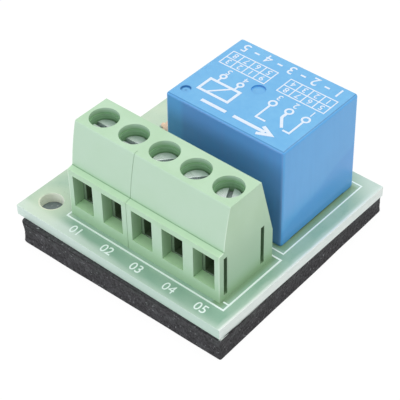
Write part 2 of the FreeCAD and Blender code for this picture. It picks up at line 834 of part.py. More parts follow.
def normally_closed_contact():
    """Returns the upper contact, which the moving button rests under when released."""
    button_top = leaf_bottom() + LEAF_THICKNESS + CONTACT_HEIGHT
    return contact_blade(-1, button_top + contact_lift() + CONTACT_GAP + CONTACT_HEIGHT, -1)


# Small parts on leads


def axial_leads(body_left, body_length, y):
    """Returns the Lead of each end of a lying part."""
    reach = AXIAL_LEAD_RUN
    width = 2 * AXIAL_LEAD_RADIUS
    return [
        Lead(body_left - reach, y, width, 0),
        Lead(body_left + body_length + reach, y, width, 0),
    ]


def resistor_leads():
    """Returns the resistor's two leads."""
    return axial_leads(RESISTOR_FROM_LEFT, RESISTOR_LENGTH, RESISTOR_FROM_FRONT)


def diode_leads():
    """Returns the diode's two leads."""
    return axial_leads(DIODE_FROM_LEFT, DIODE_LENGTH, DIODE_FROM_FRONT)


def lamp_leads():
    """Returns the indicator lamp's two leads."""
    width = LAMP_LEAD_WIDTH
    return [
        Lead(LAMP_FROM_LEFT + side * LAMP_LEAD_SPREAD, LAMP_FROM_FRONT, width, width)
        for side in (-1, 1)
    ]


def bent_wire(lead, body_end, z):
    """Returns a wire that leaves a body along X, bends down and passes the board."""
    towards = math.copysign(1, lead.x - body_end)
    start = V(body_end, lead.y, z)
    bend_start = V(lead.x - towards * AXIAL_BEND_RADIUS, lead.y, z)
    bend_end = V(lead.x, lead.y, z - AXIAL_BEND_RADIUS)
    path = Part.makePolygon([start, bend_start, bend_end, V(lead.x, lead.y, stub_end())])
    section = closed(small_round(start, AXIAL_LEAD_RADIUS, V(0, 0, 1)))
    return path.makePipeShell([section], True, False, MITRED_CORNERS)


def wires_of(leads, body_left, body_length, z):
    """Returns both bent wires of a lying part."""
    ends = (body_left, body_left + body_length)
    return Part.makeCompound([bent_wire(lead, end, z) for lead, end in zip(leads, ends)])


def resistor_axis():
    """Returns the height of the resistor's axis."""
    return RESISTOR_CAP_RADIUS + AXIAL_STANDOFF


def diode_axis():
    """Returns the height of the diode's axis."""
    return DIODE_RADIUS + AXIAL_STANDOFF


def lying_body(start, length, steps):
    """Returns a lying turned body, the same at both ends. A step is (from its end, radius)."""
    left_half = [start + V(along, 0, radius) for along, radius in steps]
    right_half = [start + V(length - along, 0, radius) for along, radius in reversed(steps)]
    outline = [start] + left_half + right_half + [start + V(length, 0, 0)]
    return turned(outline, start, V(1, 0, 0))


def resistor_body():
    """Returns the resistor's coated body, wider over its two end caps."""
    steps = [
        (0, RESISTOR_CAP_RADIUS - RESISTOR_CHAMFER),
        (RESISTOR_CHAMFER, RESISTOR_CAP_RADIUS),
        (RESISTOR_CAP_LENGTH - RESISTOR_CHAMFER, RESISTOR_CAP_RADIUS),
        (RESISTOR_CAP_LENGTH, RESISTOR_WAIST_RADIUS),
    ]
    start = V(RESISTOR_FROM_LEFT, RESISTOR_FROM_FRONT, resistor_axis())
    return lying_body(start, RESISTOR_LENGTH, steps)


def diode_body():
    """Returns the diode's moulded round body."""
    steps = [(0, DIODE_RADIUS - DIODE_CHAMFER), (DIODE_CHAMFER, DIODE_RADIUS)]
    return lying_body(V(DIODE_FROM_LEFT, DIODE_FROM_FRONT, diode_axis()), DIODE_LENGTH, steps)


def lamp_lead_frame():
    """Returns the lamp's two posts; the right one has the arm that carries the chip."""
    top = LAMP_STANDOFF + LAMP_POST_HEIGHT
    left, right = [lead_section(lead, 0, stub_end(), top) for lead in lamp_leads()]
    left_face, right_face = [lead.x + LAMP_LEAD_WIDTH / 2 for lead in lamp_leads()]
    arm = box(
        (left_face + LAMP_ARM_GAP, right_face),
        around(LAMP_FROM_FRONT, LAMP_LEAD_WIDTH),
        (top - LAMP_ARM_HEIGHT, top),
    )
    return Part.makeCompound([left, right.fuse(arm).removeSplitter()])


def lamp_lens():
    """Returns the lamp's moulded lens, set round its posts."""
    x = LAMP_FROM_LEFT
    y = LAMP_FROM_FRONT
    low = LAMP_STANDOFF
    dome_base = low + LAMP_FLANGE_HEIGHT + LAMP_BARREL_HEIGHT
    flange = post(x, y, LAMP_FLANGE_RADIUS, low, low + LAMP_FLANGE_HEIGHT)
    barrel = post(x, y, LAMP_RADIUS, low, dome_base)
    dome = Part.makeSphere(LAMP_RADIUS, V(x, y, dome_base), V(0, 0, 1), 0, 90, 360)
    return flange.fuse([barrel, dome]).removeSplitter().cut(lamp_lead_frame())


# Board, solder and pad


def lead_groups():
    """Returns the leads that pass through the board, in the groups that share a pocket."""
    terminals = [terminal_lead(pole) for pole in range(len(SLOT_ANGLES))]
    sides = (-1, 1)
    coil = [common_lead()] + [coil_lead(side) for side in sides]
    contacts = [contact_lead(side) for side in sides]
    return [terminals, coil, contacts, resistor_leads(), diode_leads(), lamp_leads()]


def all_leads():
    """Returns every lead that passes through the board."""
    return [lead for group in lead_groups() for lead in group]


def mount_holes():
    """Returns the centres of the two mounting holes, at the left corners."""
    x = MOUNT_HOLE_FROM_LEFT
    return [(x, MOUNT_HOLE_FROM_EDGE), (x, BOARD_DEPTH - MOUNT_HOLE_FROM_EDGE)]


def circuit_board():
    """Returns the board with its mounting holes and lead holes."""
    z_range = (-BOARD_THICKNESS, 0)
    holes = [post(x, y, MOUNT_HOLE_RADIUS, *z_range) for x, y in mount_holes()]
    for lead in all_leads():
        holes.append(small_post(lead.x, lead.y, lead_reach(lead) + HOLE_CLEARANCE, *z_range))
    return box((0, BOARD_LENGTH), (0, BOARD_DEPTH), z_range).cut(holes)


def solder_foot(lead):
    """Returns the radius of a solder joint where it meets the board."""
    return lead_reach(lead) + SOLDER_FOOT_WIDTH


def solder_joints():
    """Returns the solder cones round the leads, under the board."""
    joints = []
    top = -BOARD_THICKNESS
    bottom = top - SOLDER_HEIGHT
    for lead in all_leads():
        radii = (lead_reach(lead) + SOLDER_TIP_WIDTH, solder_foot(lead))
        cone = small_cone(lead.x, lead.y, radii, (bottom, top))
        joints.append(cone.cut(lead_section(lead, SOLDER_CLEARANCE, bottom, top)))
    return Part.makeCompound(joints)


def pocket(leads, z_range):
    """Returns the room that a group of solder joints takes."""
    reach = max(solder_foot(lead) for lead in leads) + POCKET_CLEARANCE
    x_values = [lead.x for lead in leads]
    y_values = [lead.y for lead in leads]
    return box(
        (min(x_values) - reach, max(x_values) + reach),
        (min(y_values) - reach, max(y_values) + reach),
        z_range,
    )


def pad_layer(z_low, z_high, pocket_bottom):
    """Returns one layer under the board, with pockets where the solder sinks in."""
    x_range = (FOAM_INSET_LEFT, BOARD_LENGTH - FOAM_INSET_RIGHT)
    y_range = (-FOAM_OVERHANG_FRONT, BOARD_DEPTH + FOAM_OVERHANG_BACK)
    outline = rounded_rectangle(x_range, y_range, z_low, FOAM_CORNER_RADIUS)
    layer = Part.Face(outline).extrude(V(0, 0, z_high - z_low))
    layer.rotate(V(BOARD_LENGTH / 2, BOARD_DEPTH / 2, 0), V(0, 0, 1), FOAM_TURN)
    return layer.cut([pocket(leads, (pocket_bottom, z_high)) for leads in lead_groups()])


def adhesive_film():
    """Returns the thin film between the board and the foam."""
    top = -BOARD_THICKNESS
    return pad_layer(top - FILM_THICKNESS, top, top - FILM_THICKNESS)


def foam_pad():
    """Returns the foam pad that the module rests on."""
    top = -BOARD_THICKNESS - FILM_THICKNESS
    return pad_layer(top - FOAM_THICKNESS, top, stub_end() - POCKET_CLEARANCE)


def all_pieces():
    """Returns every piece by the name of its node."""
    pieces = {
        "foam_pad": foam_pad(),
        "adhesive_film": adhesive_film(),
        "circuit_board": circuit_board(),
        "solder_joints": solder_joints(),
        "terminal_housing_two_pole": terminal_housing(0, 2),
        "terminal_housing_three_pole": terminal_housing(2, 3),
        "relay_case": relay_case(),
        "relay_base": relay_base(),
        "relay_yoke": relay_yoke(),
        "coil_core": coil_core(),
        "coil_bobbin": coil_bobbin(),
        "coil_winding": coil_winding(),
        "coil_pin_front": coil_pin(-1),
        "coil_pin_back": coil_pin(1),
        "relay_armature": relay_armature(),
        "contact_spring": contact_spring(),
        "return_spring": return_spring(),
        "normally_open_contact": normally_open_contact(),
        "normally_closed_contact": normally_closed_contact(),
        "resistor_body": resistor_body(),
        "resistor_leads": wires_of(
            resistor_leads(), RESISTOR_FROM_LEFT, RESISTOR_LENGTH, resistor_axis()
        ),
        "diode_body": diode_body(),
        "diode_leads": wires_of(diode_leads(), DIODE_FROM_LEFT, DIODE_LENGTH, diode_axis()),
        "lamp_lens": lamp_lens(),
        "lamp_lead_frame": lamp_lead_frame(),
    }
    for pole, slot_angle in enumerate(SLOT_ANGLES):
        number = pole + 1
        pieces[f"clamp_screw_{number}"] = clamp_screw(pole, slot_angle)
        pieces[f"clamp_cage_{number}"] = clamp_cage(pole)
        pieces[f"terminal_pin_{number}"] = terminal_pin(pole)
    return pieces


def main():
    """Moves every piece to the origin below the board's centre and writes it."""
    os.makedirs("parts", exist_ok=True)
    rise = FOAM_THICKNESS + FILM_THICKNESS + BOARD_THICKNESS
    to_origin = V(-BOARD_LENGTH / 2, -BOARD_DEPTH / 2, rise)
    for name, shape in all_pieces().items():
        shape.translate(to_origin)
        shape.exportStep(f"parts/{name}.step")
        box_of = shape.BoundBox
        print(f"{name}: {len(shape.Solids)} solid(s), valid {shape.isValid()}, "
              f"{shape.Volume:.2f} mm3, z {box_of.ZMin:.2f} to {box_of.ZMax:.2f}")


main()
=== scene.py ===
"""Relay module board: the finish of every surface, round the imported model.

The board lies on a cut foam pad. Two green terminal blocks stand along its front, a
blue cube relay behind them, and a resistor, a diode and a lamp to the relay's left.
Places on the board are in millimetres from its front left corner, with z = 0 on its
upper face, and are moved to the frame's metres by the Datum class.
"""
from __future__ import annotations

import logging
import math
from dataclasses import dataclass
from enum import Enum
from typing import Any, Iterable, Sequence

import bmesh
import bpy
import numpy as np
from mathutils import Matrix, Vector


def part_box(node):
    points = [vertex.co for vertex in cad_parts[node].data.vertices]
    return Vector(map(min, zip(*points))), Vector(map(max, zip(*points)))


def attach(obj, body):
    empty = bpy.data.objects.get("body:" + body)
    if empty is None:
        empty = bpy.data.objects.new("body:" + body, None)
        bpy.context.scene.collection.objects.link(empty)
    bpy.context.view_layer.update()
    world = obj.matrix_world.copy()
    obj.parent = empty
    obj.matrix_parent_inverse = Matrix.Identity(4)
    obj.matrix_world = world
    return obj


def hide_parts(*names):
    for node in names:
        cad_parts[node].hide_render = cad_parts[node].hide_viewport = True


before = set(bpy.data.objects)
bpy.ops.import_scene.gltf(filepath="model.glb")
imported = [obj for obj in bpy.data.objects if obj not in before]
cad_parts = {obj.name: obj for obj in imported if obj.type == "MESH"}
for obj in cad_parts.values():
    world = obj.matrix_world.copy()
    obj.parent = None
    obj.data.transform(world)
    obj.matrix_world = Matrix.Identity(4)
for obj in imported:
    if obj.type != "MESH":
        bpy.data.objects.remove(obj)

LOG = logging.getLogger("relay_module")
MM = 0.001
WELD = 1e-7
# Turns in degrees: faces that meet at less than the first count as one, edges of copied nodes
# above the second are rounded, and edges of other shapes above the third stay sharp
FLAT_TURN = 0.5
ROUNDED_TURN = 35.0
SHARP_TURN = 40.0
# The random lattice: how many values it has, and the factors that scatter them
LATTICE_VALUES = 4096
LATTICE_FACTORS = (73856093, 19349663, 83492791)
# The print's thickness in millimetres, and in shares of it the height of a line and what each
# line in order adds, so that crossing lines share no face
INK_HEIGHT = 0.03
LINE_SHARE = 0.8
LINE_STEP = 0.03
# The height of a figure in shares of the type size
FIGURE_SHARE = 0.69
# The middle of the front left mounting hole, in the board's millimetres
HOLE = (3.12, 3.5)
Colour = tuple[float, float, float]
Array = np.ndarray
# A span is where a shade comes up from 0 to 1, and a band is one where it comes up and one
# where it goes down again
Span = tuple[float, float]
Band = tuple[Span, Span]
# The points of a printed line, its width and whether it closes on itself
Stroke = tuple[list[tuple[float, float]], float, bool]


class Ends(Enum):
    """How the first and last rings of a swept surface are finished."""

    POLES = "poles"
    FLAT = "flat"
    JOINED = "joined"


class Axis(Enum):
    """The direction that a long part or a brushed finish runs in."""

    X = 0
    Y = 1
    Z = 2


# Sockets and nodes


class Value:
    """A node's output socket that adds Math nodes when it is used in arithmetic."""

    def __init__(self, graph: Graph, socket: bpy.types.NodeSocket) -> None:
        """Keeps the socket and the graph that its nodes go to."""
        self.graph = graph
        self.socket = socket

    def __add__(self, other: Number) -> Value:
        """Sum."""
        return self.graph.math("ADD", self, other)

    def __sub__(self, other: Number) -> Value:
        """Difference."""
        return self.graph.math("SUBTRACT", self, other)

    def __rsub__(self, other: Number) -> Value:
        """Difference from a number."""
        return self.graph.math("SUBTRACT", other, self)

    def __mul__(self, other: Number) -> Value:
        """Product."""
        return self.graph.math("MULTIPLY", self, other)

    def __truediv__(self, other: Number) -> Value:
        """Quotient."""
        return self.graph.math("DIVIDE", self, other)

    def __pow__(self, other: Number) -> Value:
        """Power."""
        return self.graph.math("POWER", self, other)

    __radd__ = __add__
    __rmul__ = __mul__

    def __abs__(self) -> Value:
        """Size without sign."""
        return self.graph.math("ABSOLUTE", self)

    def ramp(self, low: float, high: float) -> Value:
        """Smooth step: 0 at low, 1 at high, with level ends. High may be the smaller one."""
        return self.graph.node(
            "ShaderNodeMapRange",
            {"interpolation_type": "SMOOTHSTEP"},
            {"Value": self, "From Min": low, "From Max": high},
        )

    def band(self, rise: Span, fall: Span) -> Value:
        """1 between two places: it comes up over the first span and goes down over the second."""
        return self.ramp(*rise) * self.ramp(fall[1], fall[0])

    def largest(self, other: Number) -> Value:
        """The larger of two values."""
        return self.graph.math("MAXIMUM", self, other)

    def smallest(self, other: Number) -> Value:
        """The smaller of two values."""
        return self.graph.math("MINIMUM", self, other)

    def sine(self) -> Value:
        """Sine of an angle in radians."""
        return self.graph.math("SINE", self)


Number = Value | float
Parts = tuple[Value, Value, Value]


class Graph:
    """The node tree of one material."""

    def __init__(self, name: str) -> None:
        """Makes an empty material of that name."""
        self.material = bpy.data.materials.new(name)
        self.material.use_nodes = True
        self.tree = self.material.node_tree
        self.tree.nodes.clear()

    def node(self, kind: str, settings: dict | None = None, inputs: dict | None = None,
             output: int | str = 0) -> Value:
        """Adds one node.

        Args:
            kind: the node's type.
            settings: its properties, set first.
            inputs: values or links of its sockets, by name or number.
            output: the output socket that is returned.

        Returns:
            The output socket as a Value.
        """
        made = self.tree.nodes.new(kind)
        for key, setting in (settings or {}).items():
            setattr(made, key, setting)
        for key, entry in (inputs or {}).items():
            if isinstance(entry, Value):
                self.tree.links.new(entry.socket, made.inputs[key])
            else:
                made.inputs[key].default_value = entry
        return Value(self, made.outputs[output])

    def math(self, operation: str, *values: Number) -> Value:
        """Adds a Math node on two values, or on one."""
        return self.node("ShaderNodeMath", {"operation": operation}, dict(enumerate(values)))

    def mix(self, share: Number, first: Value | Colour, second: Value | Colour) -> Value:
        """Mixes two colours; share 0 gives the first and 1 the second."""
        sides = [c if isinstance(c, Value) else (*c, 1.0) for c in (first, second)]
        return self.node(
            "ShaderNodeMix", {"data_type": "RGBA"}, {0: share, 6: sides[0], 7: sides[1]}, 2
        )

    def place(self, corner: Sequence[float] = (0.0, 0.0, 0.0)) -> Value:
        """Object coordinates in millimetres from a corner given in metres."""
        at = self.node("ShaderNodeTexCoord", output="Object")
        moved = self.node("ShaderNodeVectorMath", {"operation": "SUBTRACT"}, {0: at, 1: tuple(corner)})
        return self.node("ShaderNodeVectorMath", {"operation": "SCALE"}, {0: moved, "Scale": 1 / MM})

    def parts(self, vector: Value) -> Parts:
        """The three parts of a vector."""
        split = self.node("ShaderNodeSeparateXYZ", inputs={0: vector}).socket.node
        return tuple(Value(self, socket) for socket in split.outputs)

    def stretched(self, vector: Value, sizes: Sequence[float]) -> Value:
        """A vector divided by a size along each axis, so that a pattern is drawn out."""
        return self.node("ShaderNodeVectorMath", {"operation": "DIVIDE"}, {0: vector, 1: tuple(sizes)})

    def facing(self) -> Parts:
        """The parts of the surface's own normal."""
        return self.parts(self.node("ShaderNodeTexCoord", output="Normal"))

    @staticmethod
    def away(x: Value, y: Value, centre: Span) -> Value:
        """The distance from a centre, on the level."""
        return ((x - centre[0]) ** 2.0 + (y - centre[1]) ** 2.0) ** 0.5

    def noise(self, vector: Value, size: float, detail: float = 2.0, rough: float = 0.5) -> Value:
        """Cloudy noise from 0 to 1, with blots of about the given size."""
        return self.node(
            "ShaderNodeTexNoise", {},
            {"Vector": vector, "Scale": 1 / size, "Detail": detail, "Roughness": rough},
        )

    def cells(self, vector: Value, size: float, output: str = "Distance") -> Value:
        """Distance from the nearest point of a scatter of cells, or another of its outputs."""
        return self.node(
            "ShaderNodeTexVoronoi", {"feature": "F1"}, {"Vector": vector, "Scale": 1 / size}, output
        )

    def dots(self, vector: Value, size: float) -> Value:
        """A random value from 0 to 1 for each cell of a scatter."""
        return self.parts(self.cells(vector, size, "Color"))[0]

    def flecks(self, vector: Value) -> Value:
        """The few cells of a fine scatter that catch the light."""
        return self.dots(vector, 0.2).ramp(0.955, 0.985)

    def bump(self, height: Value, depth: float) -> Value:
        """A normal from a height between 0 and 1 that stands for a depth in millimetres."""
        return self.node("ShaderNodeBump", {}, {"Height": height, "Distance": depth * MM})

    def finish(self, shader: Value) -> bpy.types.Material:
        """Links the shader to the output and returns the material."""
        made = self.tree.nodes.new("ShaderNodeOutputMaterial")
        self.tree.links.new(shader.socket, made.inputs["Surface"])
        return self.material

    def surface(self, colour: Value | Colour, **inputs: Any) -> Value:
        """Adds the main shader; the keyword names are its sockets' names with underscores."""
        named = {key.replace("_", " "): entry for key, entry in inputs.items()}
        named["Base Color"] = colour if isinstance(colour, Value) else (*colour, 1.0)
        return self.node("ShaderNodeBsdfPrincipled", {}, named)


# Places and meshes


@dataclass(frozen=True)
class Datum:
    """A corner in the frame, in metres, from which places are given in millimetres."""

    corner: tuple[float, float, float]

    @classmethod
    def of_board(cls) -> Datum:
        """The board's front left corner, on its upper face."""
        low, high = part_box("circuit_board")
        return cls((low.x, low.y, high.z))

    def metres(self, points: Array) -> Array:
        """Moves points from this datum's millimetres to the frame's metres."""
        return np.asarray(points, float) * MM + np.array(self.corner)

    def box(self, node: str) -> tuple[Array, Array]:
        """A node's lowest and highest corners in this datum's millimetres."""
        return tuple((np.array(corner) - np.array(self.corner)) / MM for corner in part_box(node))


BOARD = Datum.of_board()


def add_object(name: str, mesh: bpy.types.Mesh, material: bpy.types.Material) -> bpy.types.Object:
    """Links a mesh to the scene as an object at the origin, with one material."""
    mesh.materials.clear()
    mesh.materials.append(material)
    made = bpy.data.objects.new(name, mesh)
    bpy.context.scene.collection.objects.link(made)
    return made


def shade(mesh: bpy.types.Mesh, sharp_above: float) -> None:
    """Shades a mesh smooth, apart from the edges that turn by more than an angle in degrees."""
    mesh.polygons.foreach_set("use_smooth", np.ones(len(mesh.polygons), bool))
    mesh.set_sharp_from_angle(angle=math.radians(sharp_above))
    mesh.update()


def point_outwards(mesh: bpy.types.Mesh) -> None:
    """Turns the faces of a closed mesh so that they all point outwards."""
    work = bmesh.new()
    work.from_mesh(mesh)
    bmesh.ops.recalc_face_normals(work, faces=work.faces)
    work.to_mesh(mesh)
    work.free()


def sweep(name: str, rings: Array, ends: Ends, sharp_above: float = SHARP_TURN) -> bpy.types.Mesh:
    """Joins rings of points into one closed surface.

    Point j of ring i is joined to point j + 1 of the ring, to the same point of ring
    i + 1, and the last point of a ring to its first.

    Args:
        name: the mesh's name.
        rings: places in metres, as rings by points by three.
        ends: how the first and last rings are finished.
        sharp_above: the turn in degrees above which an edge stays sharp.

    Returns:
        The mesh, with its faces pointing outwards.
    """
    ring_count, point_count = rings.shape[:2]
    index = np.arange(ring_count * point_count).reshape(ring_count, point_count)
    lower = index if ends is Ends.JOINED else index[:-1]
    upper = np.roll(index, -1, axis=0) if ends is Ends.JOINED else index[1:]
    quads = np.stack([lower, np.roll(lower, -1, 1), np.roll(upper, -1, 1), upper], axis=-1)
    faces = quads.reshape(-1, 4).tolist()
    places = rings.reshape(-1, 3)
    if ends is Ends.FLAT:
        faces += [index[0].tolist(), index[-1].tolist()]
    elif ends is Ends.POLES:
        for row, pole in ((index[0], len(places)), (index[-1], len(places) + 1)):
            fan = np.stack([row, np.roll(row, -1), np.full(point_count, pole)], axis=-1)
            faces += fan.tolist()
        places = np.vstack([places, rings[0].mean(0), rings[-1].mean(0)])
    mesh = bpy.data.meshes.new(name)
    mesh.from_pydata(places.tolist(), [], faces)
    point_outwards(mesh)
    shade(mesh, sharp_above)
    return mesh


def turned(profile: Array, axis: Axis, centre: Sequence[float], sides: int) -> Array:
    """Rings of a profile turned round a line through a centre, along an axis.

    Ring i has the profile's radius r(i) and lies at its place h(i) along the axis:
    the point at angle a is at centre + r cos a across + r sin a across + h along.

    Args:
        profile: rows of radius and place along the axis.
        axis: the line's direction.
        centre: the point from which places along the axis are measured.
        sides: points in a ring.

    Returns:
        The rings, as rings by points by three.
    """
    turn = np.linspace(0, 2 * math.pi, sides, endpoint=False)
    radius, along = np.asarray(profile, float).T
    local = np.zeros((len(radius), sides, 3))
    first, second = [(1, 2), (2, 0), (0, 1)][axis.value]
    local[..., first] = radius[:, None] * np.cos(turn)
    local[..., second] = radius[:, None] * np.sin(turn)
    local[..., axis.value] = along[:, None]
    return local + np.asarray(centre, float)


def tube(path: Array, radius: float, side: Sequence[float], sides: int) -> Array:
    """Rings of a round wire along a flat path.

    Ring i is the circle of the radius in the plane of the side vector and of the
    vector across both the side and the path's direction at point i.

    Args:
        path: points of the middle line, in one plane.
        radius: the wire's radius.
        side: the unit vector across the path's plane.
        sides: points in a ring.

    Returns:
        The rings, as rings by points by three.
    """
    along = np.gradient(path, axis=0)
    along /= np.linalg.norm(along, axis=1, keepdims=True)
    across = np.cross(along, side)
    turn = np.linspace(0, 2 * math.pi, sides, endpoint=False)
    ring = across[:, None] * np.cos(turn)[:, None] + np.asarray(side) * np.sin(turn)[:, None]
    return path[:, None] + radius * ring


def ribbon(points: Array, width: float, height: float, level: float, loop: bool) -> Array:
    """Rings of a flat printed line: four corners at each point, set off by half the width.

    At a corner the offset is the half width divided by the cosine of half the turn, so
    that both sides keep their distance.

    Args:
        points: places of the line's middle, as rows of x and y.
        width: the line's width.
        height: its thickness above the level.
        level: the height of the surface that it lies on.
        loop: whether the last point joins the first.

    Returns:
        The rings, as points by four by three.
    """
    points = np.asarray(points, float)
    ahead = np.roll(points, -1, 0) - points
    behind = points - np.roll(points, 1, 0)
    if not loop:
        ahead[-1] = behind[-1]
        behind[0] = ahead[0]
    ahead, behind = (v / np.linalg.norm(v, axis=1, keepdims=True) for v in (ahead, behind))
    middle = ahead + behind
    middle /= np.linalg.norm(middle, axis=1, keepdims=True)
    across = np.stack([-middle[:, 1], middle[:, 0]], axis=1)
    reach = width / 2 / np.sum(middle * ahead, axis=1, keepdims=True)
    left, right = points + across * reach, points - across * reach
    corners = [(left, level), (right, level), (right, level + height), (left, level + height)]
    return np.stack([np.column_stack([side, np.full(len(side), z)]) for side, z in corners], axis=1)


def rounded_outline(half: Array, radii: Sequence[float], count: int) -> tuple[Array, Array]:
    """A rectangle with round corners, as evenly spaced points.

    Each corner is a quarter circle, and the points are laid out by the length along
    the closed line.

    Args:
        half: half of its size along X and Y.
        radii: the radius of the back right, back left, front left and front right corner.
        count: how many points.

    Returns:
        The points and the outward unit vectors, as rows of x and y.
    """
    turn = np.linspace(0, math.pi / 2, 13)
    signs = np.array([(1, 1), (-1, 1), (-1, -1), (1, -1)])
    angles = (turn[None] + np.arange(4)[:, None] * math.pi / 2).ravel()
    outward = np.stack([np.cos(angles), np.sin(angles)], axis=1)
    radius = np.array(radii)[:, None]
    corners = np.repeat(signs * (half - radius), len(turn), axis=0)
    corners = corners + np.repeat(radius, len(turn), axis=0) * outward
    ring = np.vstack([corners, corners[:1]])
    length = np.concatenate([[0], np.cumsum(np.linalg.norm(np.diff(ring, axis=0), axis=1))])
    at = np.linspace(0, length[-1], count, endpoint=False)
    facing = np.vstack([outward, outward[:1]])
    points = np.stack([np.interp(at, length, ring[:, i]) for i in (0, 1)], axis=1)
    normals = np.stack([np.interp(at, length, facing[:, i]) for i in (0, 1)], axis=1)
    return points, normals / np.linalg.norm(normals, axis=1, keepdims=True)


def ripple(points: Array, size: float, seed: int) -> Array:
    """A smooth random field between -1 and 1.

    Random values sit on a lattice of the given size, and a point takes the values of
    the eight corners round it, weighted by a smooth step along each axis.

    Args:
        points: places, with x, y and z in the last axis.
        size: the lattice's step.
        seed: chooses the random values.

    Returns:
        One value for each point.
    """
    table = np.random.default_rng(seed).uniform(-1, 1, LATTICE_VALUES)
    cell = np.floor(points / size).astype(np.int64)
    share = points / size - cell
    share = share * share * (3 - 2 * share)
    total = np.zeros(points.shape[:-1])
    for corner in np.ndindex(2, 2, 2):
        key = (cell + corner) * LATTICE_FACTORS
        weight = np.prod(np.where(corner, share, 1 - share), axis=-1)
        total += weight * table[(key[..., 0] ^ key[..., 1] ^ key[..., 2]) % len(table)]
    return total


def lettering(name: str, text: str, size: float, place: Sequence[float], upside_down: bool,
              bold: float = 0.006) -> bpy.types.Mesh:
    """Plain figures as a thin raised mesh on a level surface.

    Args:
        name: the mesh's name.
        text: the figures.
        size: the height of a figure in millimetres.
        place: the middle of the baseline, in the board's millimetres.
        upside_down: whether the figures are read from behind the board.
        bold: how far the strokes are widened to each side, in shares of the type size. A 4
            keeps its own width, because its hole closes when its strokes are widened.

    Returns:
        The mesh in the frame's metres.
    """
    curve = bpy.data.curves.new(name, "FONT")
    curve.body = text
    curve.align_x = "CENTER"
    half_depth = 0.5
    curve.extrude = half_depth
    hole_closes = "4" in text
    curve.offset = 0.0 if hole_closes else bold
    curve.resolution_u = 4
    text_object = bpy.data.objects.new(name + "_line", curve)
    bpy.context.scene.collection.objects.link(text_object)
    shaped = text_object.evaluated_get(bpy.context.evaluated_depsgraph_get())
    mesh = bpy.data.meshes.new_from_object(shaped)
    bpy.data.objects.remove(text_object)
    bpy.data.curves.remove(curve)
    places = np.zeros(len(mesh.vertices) * 3)
    mesh.vertices.foreach_get("co", places)
    places = places.reshape(-1, 3)
    scale = size / FIGURE_SHARE * (-1.0 if upside_down else 1.0)
    flat = np.column_stack([places[:, :2] * scale, (places[:, 2] + half_depth) * INK_HEIGHT])
    mesh.vertices.foreach_set("co", BOARD.metres(flat + place).ravel())
    mesh.name = name
    return mesh


def joined(name: str, meshes: Iterable[bpy.types.Mesh], material: bpy.types.Material) -> bpy.types.Object:
    """Puts several meshes into one object."""
    work = bmesh.new()
    for mesh in meshes:
        work.from_mesh(mesh)
        bpy.data.meshes.remove(mesh)
    bmesh.ops.remove_doubles(work, verts=work.verts, dist=WELD)
    bmesh.ops.recalc_face_normals(work, faces=work.faces)
    made = bpy.data.meshes.new(name)
    work.to_mesh(made)
    work.free()
    shade(made, SHARP_TURN)
    return add_object(name, made, material)


def eased_copy(node: str, name: str, width: float, material: bpy.types.Material,
               spared: Sequence[tuple[Sequence[float], Sequence[float]]] = ()) -> bpy.types.Object:
    """Copies a node with its edges rounded, to stand for it.

    Args:
        node: the node that is copied.
        name: the new piece's name.
        width: the rounding in millimetres.
        material: its finish.
        spared: boxes, by two corners in the board's millimetres, whose edges stay as they are.

    Returns:
        The new piece, which replaces the node.
    """
    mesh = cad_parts[node].data.copy()
    mesh.name = name
    if "custom_normal" in mesh.attributes:
        mesh.attributes.remove(mesh.attributes["custom_normal"])
    work = bmesh.new()
    work.from_mesh(mesh)
    bmesh.ops.remove_doubles(work, verts=work.verts, dist=WELD)
    flat = math.radians(FLAT_TURN)
    bmesh.ops.dissolve_limit(work, angle_limit=flat, verts=work.verts, edges=work.edges)
    bmesh.ops.connect_verts_concave(work, faces=work.faces)
    weight = work.edges.layers.float.new("bevel_weight_edge")
    for edge in work.edges:
        edge.smooth = True
        ends = (np.array([vertex.co for vertex in edge.verts]) - BOARD.corner) / MM
        kept = any(bool(np.all((ends > low) & (ends < high))) for low, high in spared)
        edge[weight] = float(not kept and edge.calc_face_angle(0.0) > math.radians(ROUNDED_TURN))
    work.to_mesh(mesh)
    work.free()
    made = add_object(name, mesh, material)
    shade(mesh, ROUNDED_TURN)
    bevel = made.modifiers.new("eased_edges", "BEVEL")
    bevel.width = width * MM
    bevel.segments = 2
    bevel.limit_method = "WEIGHT"
    bevel.harden_normals = True
    bevel.use_clamp_overlap = True
    bevel.miter_outer = "MITER_ARC"
    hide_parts(node)
    return made


def settle(piece: bpy.types.Object, body: str) -> bpy.types.Object:
    """Rides a piece on its body and reports it."""
    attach(piece, body)
    LOG.info("%s rides on %s, %d faces", piece.name, body, len(piece.data.polygons))
    return piece


def stand_in(name: str, mesh: bpy.types.Mesh, material: bpy.types.Material, node: str) -> bpy.types.Object:
    """Adds a piece of the module that stands for a node."""
    piece = add_object(name, mesh, material)
    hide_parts(node)
    return settle(piece, "module")


def paint(nodes: Iterable[str], material: bpy.types.Material) -> None:
    """Gives nodes that stay as they are a finish."""
    for node in nodes:
        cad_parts[node].material_slots[0].material = material
        LOG.info("%s keeps its shape", node)


# Finishes


@dataclass(frozen=True)
class MouldedPlastic:
    """Plastic from a spark-finished mould: slightly cloudy colour and a fine grain."""

    name: str
    colour: Colour
    shade: Colour
    roughness: float = 0.42
    grain: float = 0.012
    cloud: float = 3.0

    def make(self) -> bpy.types.Material:
        """Builds the material."""
        graph = Graph(self.name)
        at = graph.place()
        cloud = graph.noise(at, self.cloud, 3.0)
        fine = graph.noise(at, 0.14, 2.0)
        colour = graph.mix((cloud * 0.7 + fine * 0.3).ramp(0.3, 0.7), self.shade, self.colour)
        return graph.finish(graph.surface(
            colour,
            Roughness=self.roughness + (fine - 0.5) * 0.1,
            Normal=graph.bump(fine, self.grain),
        ))


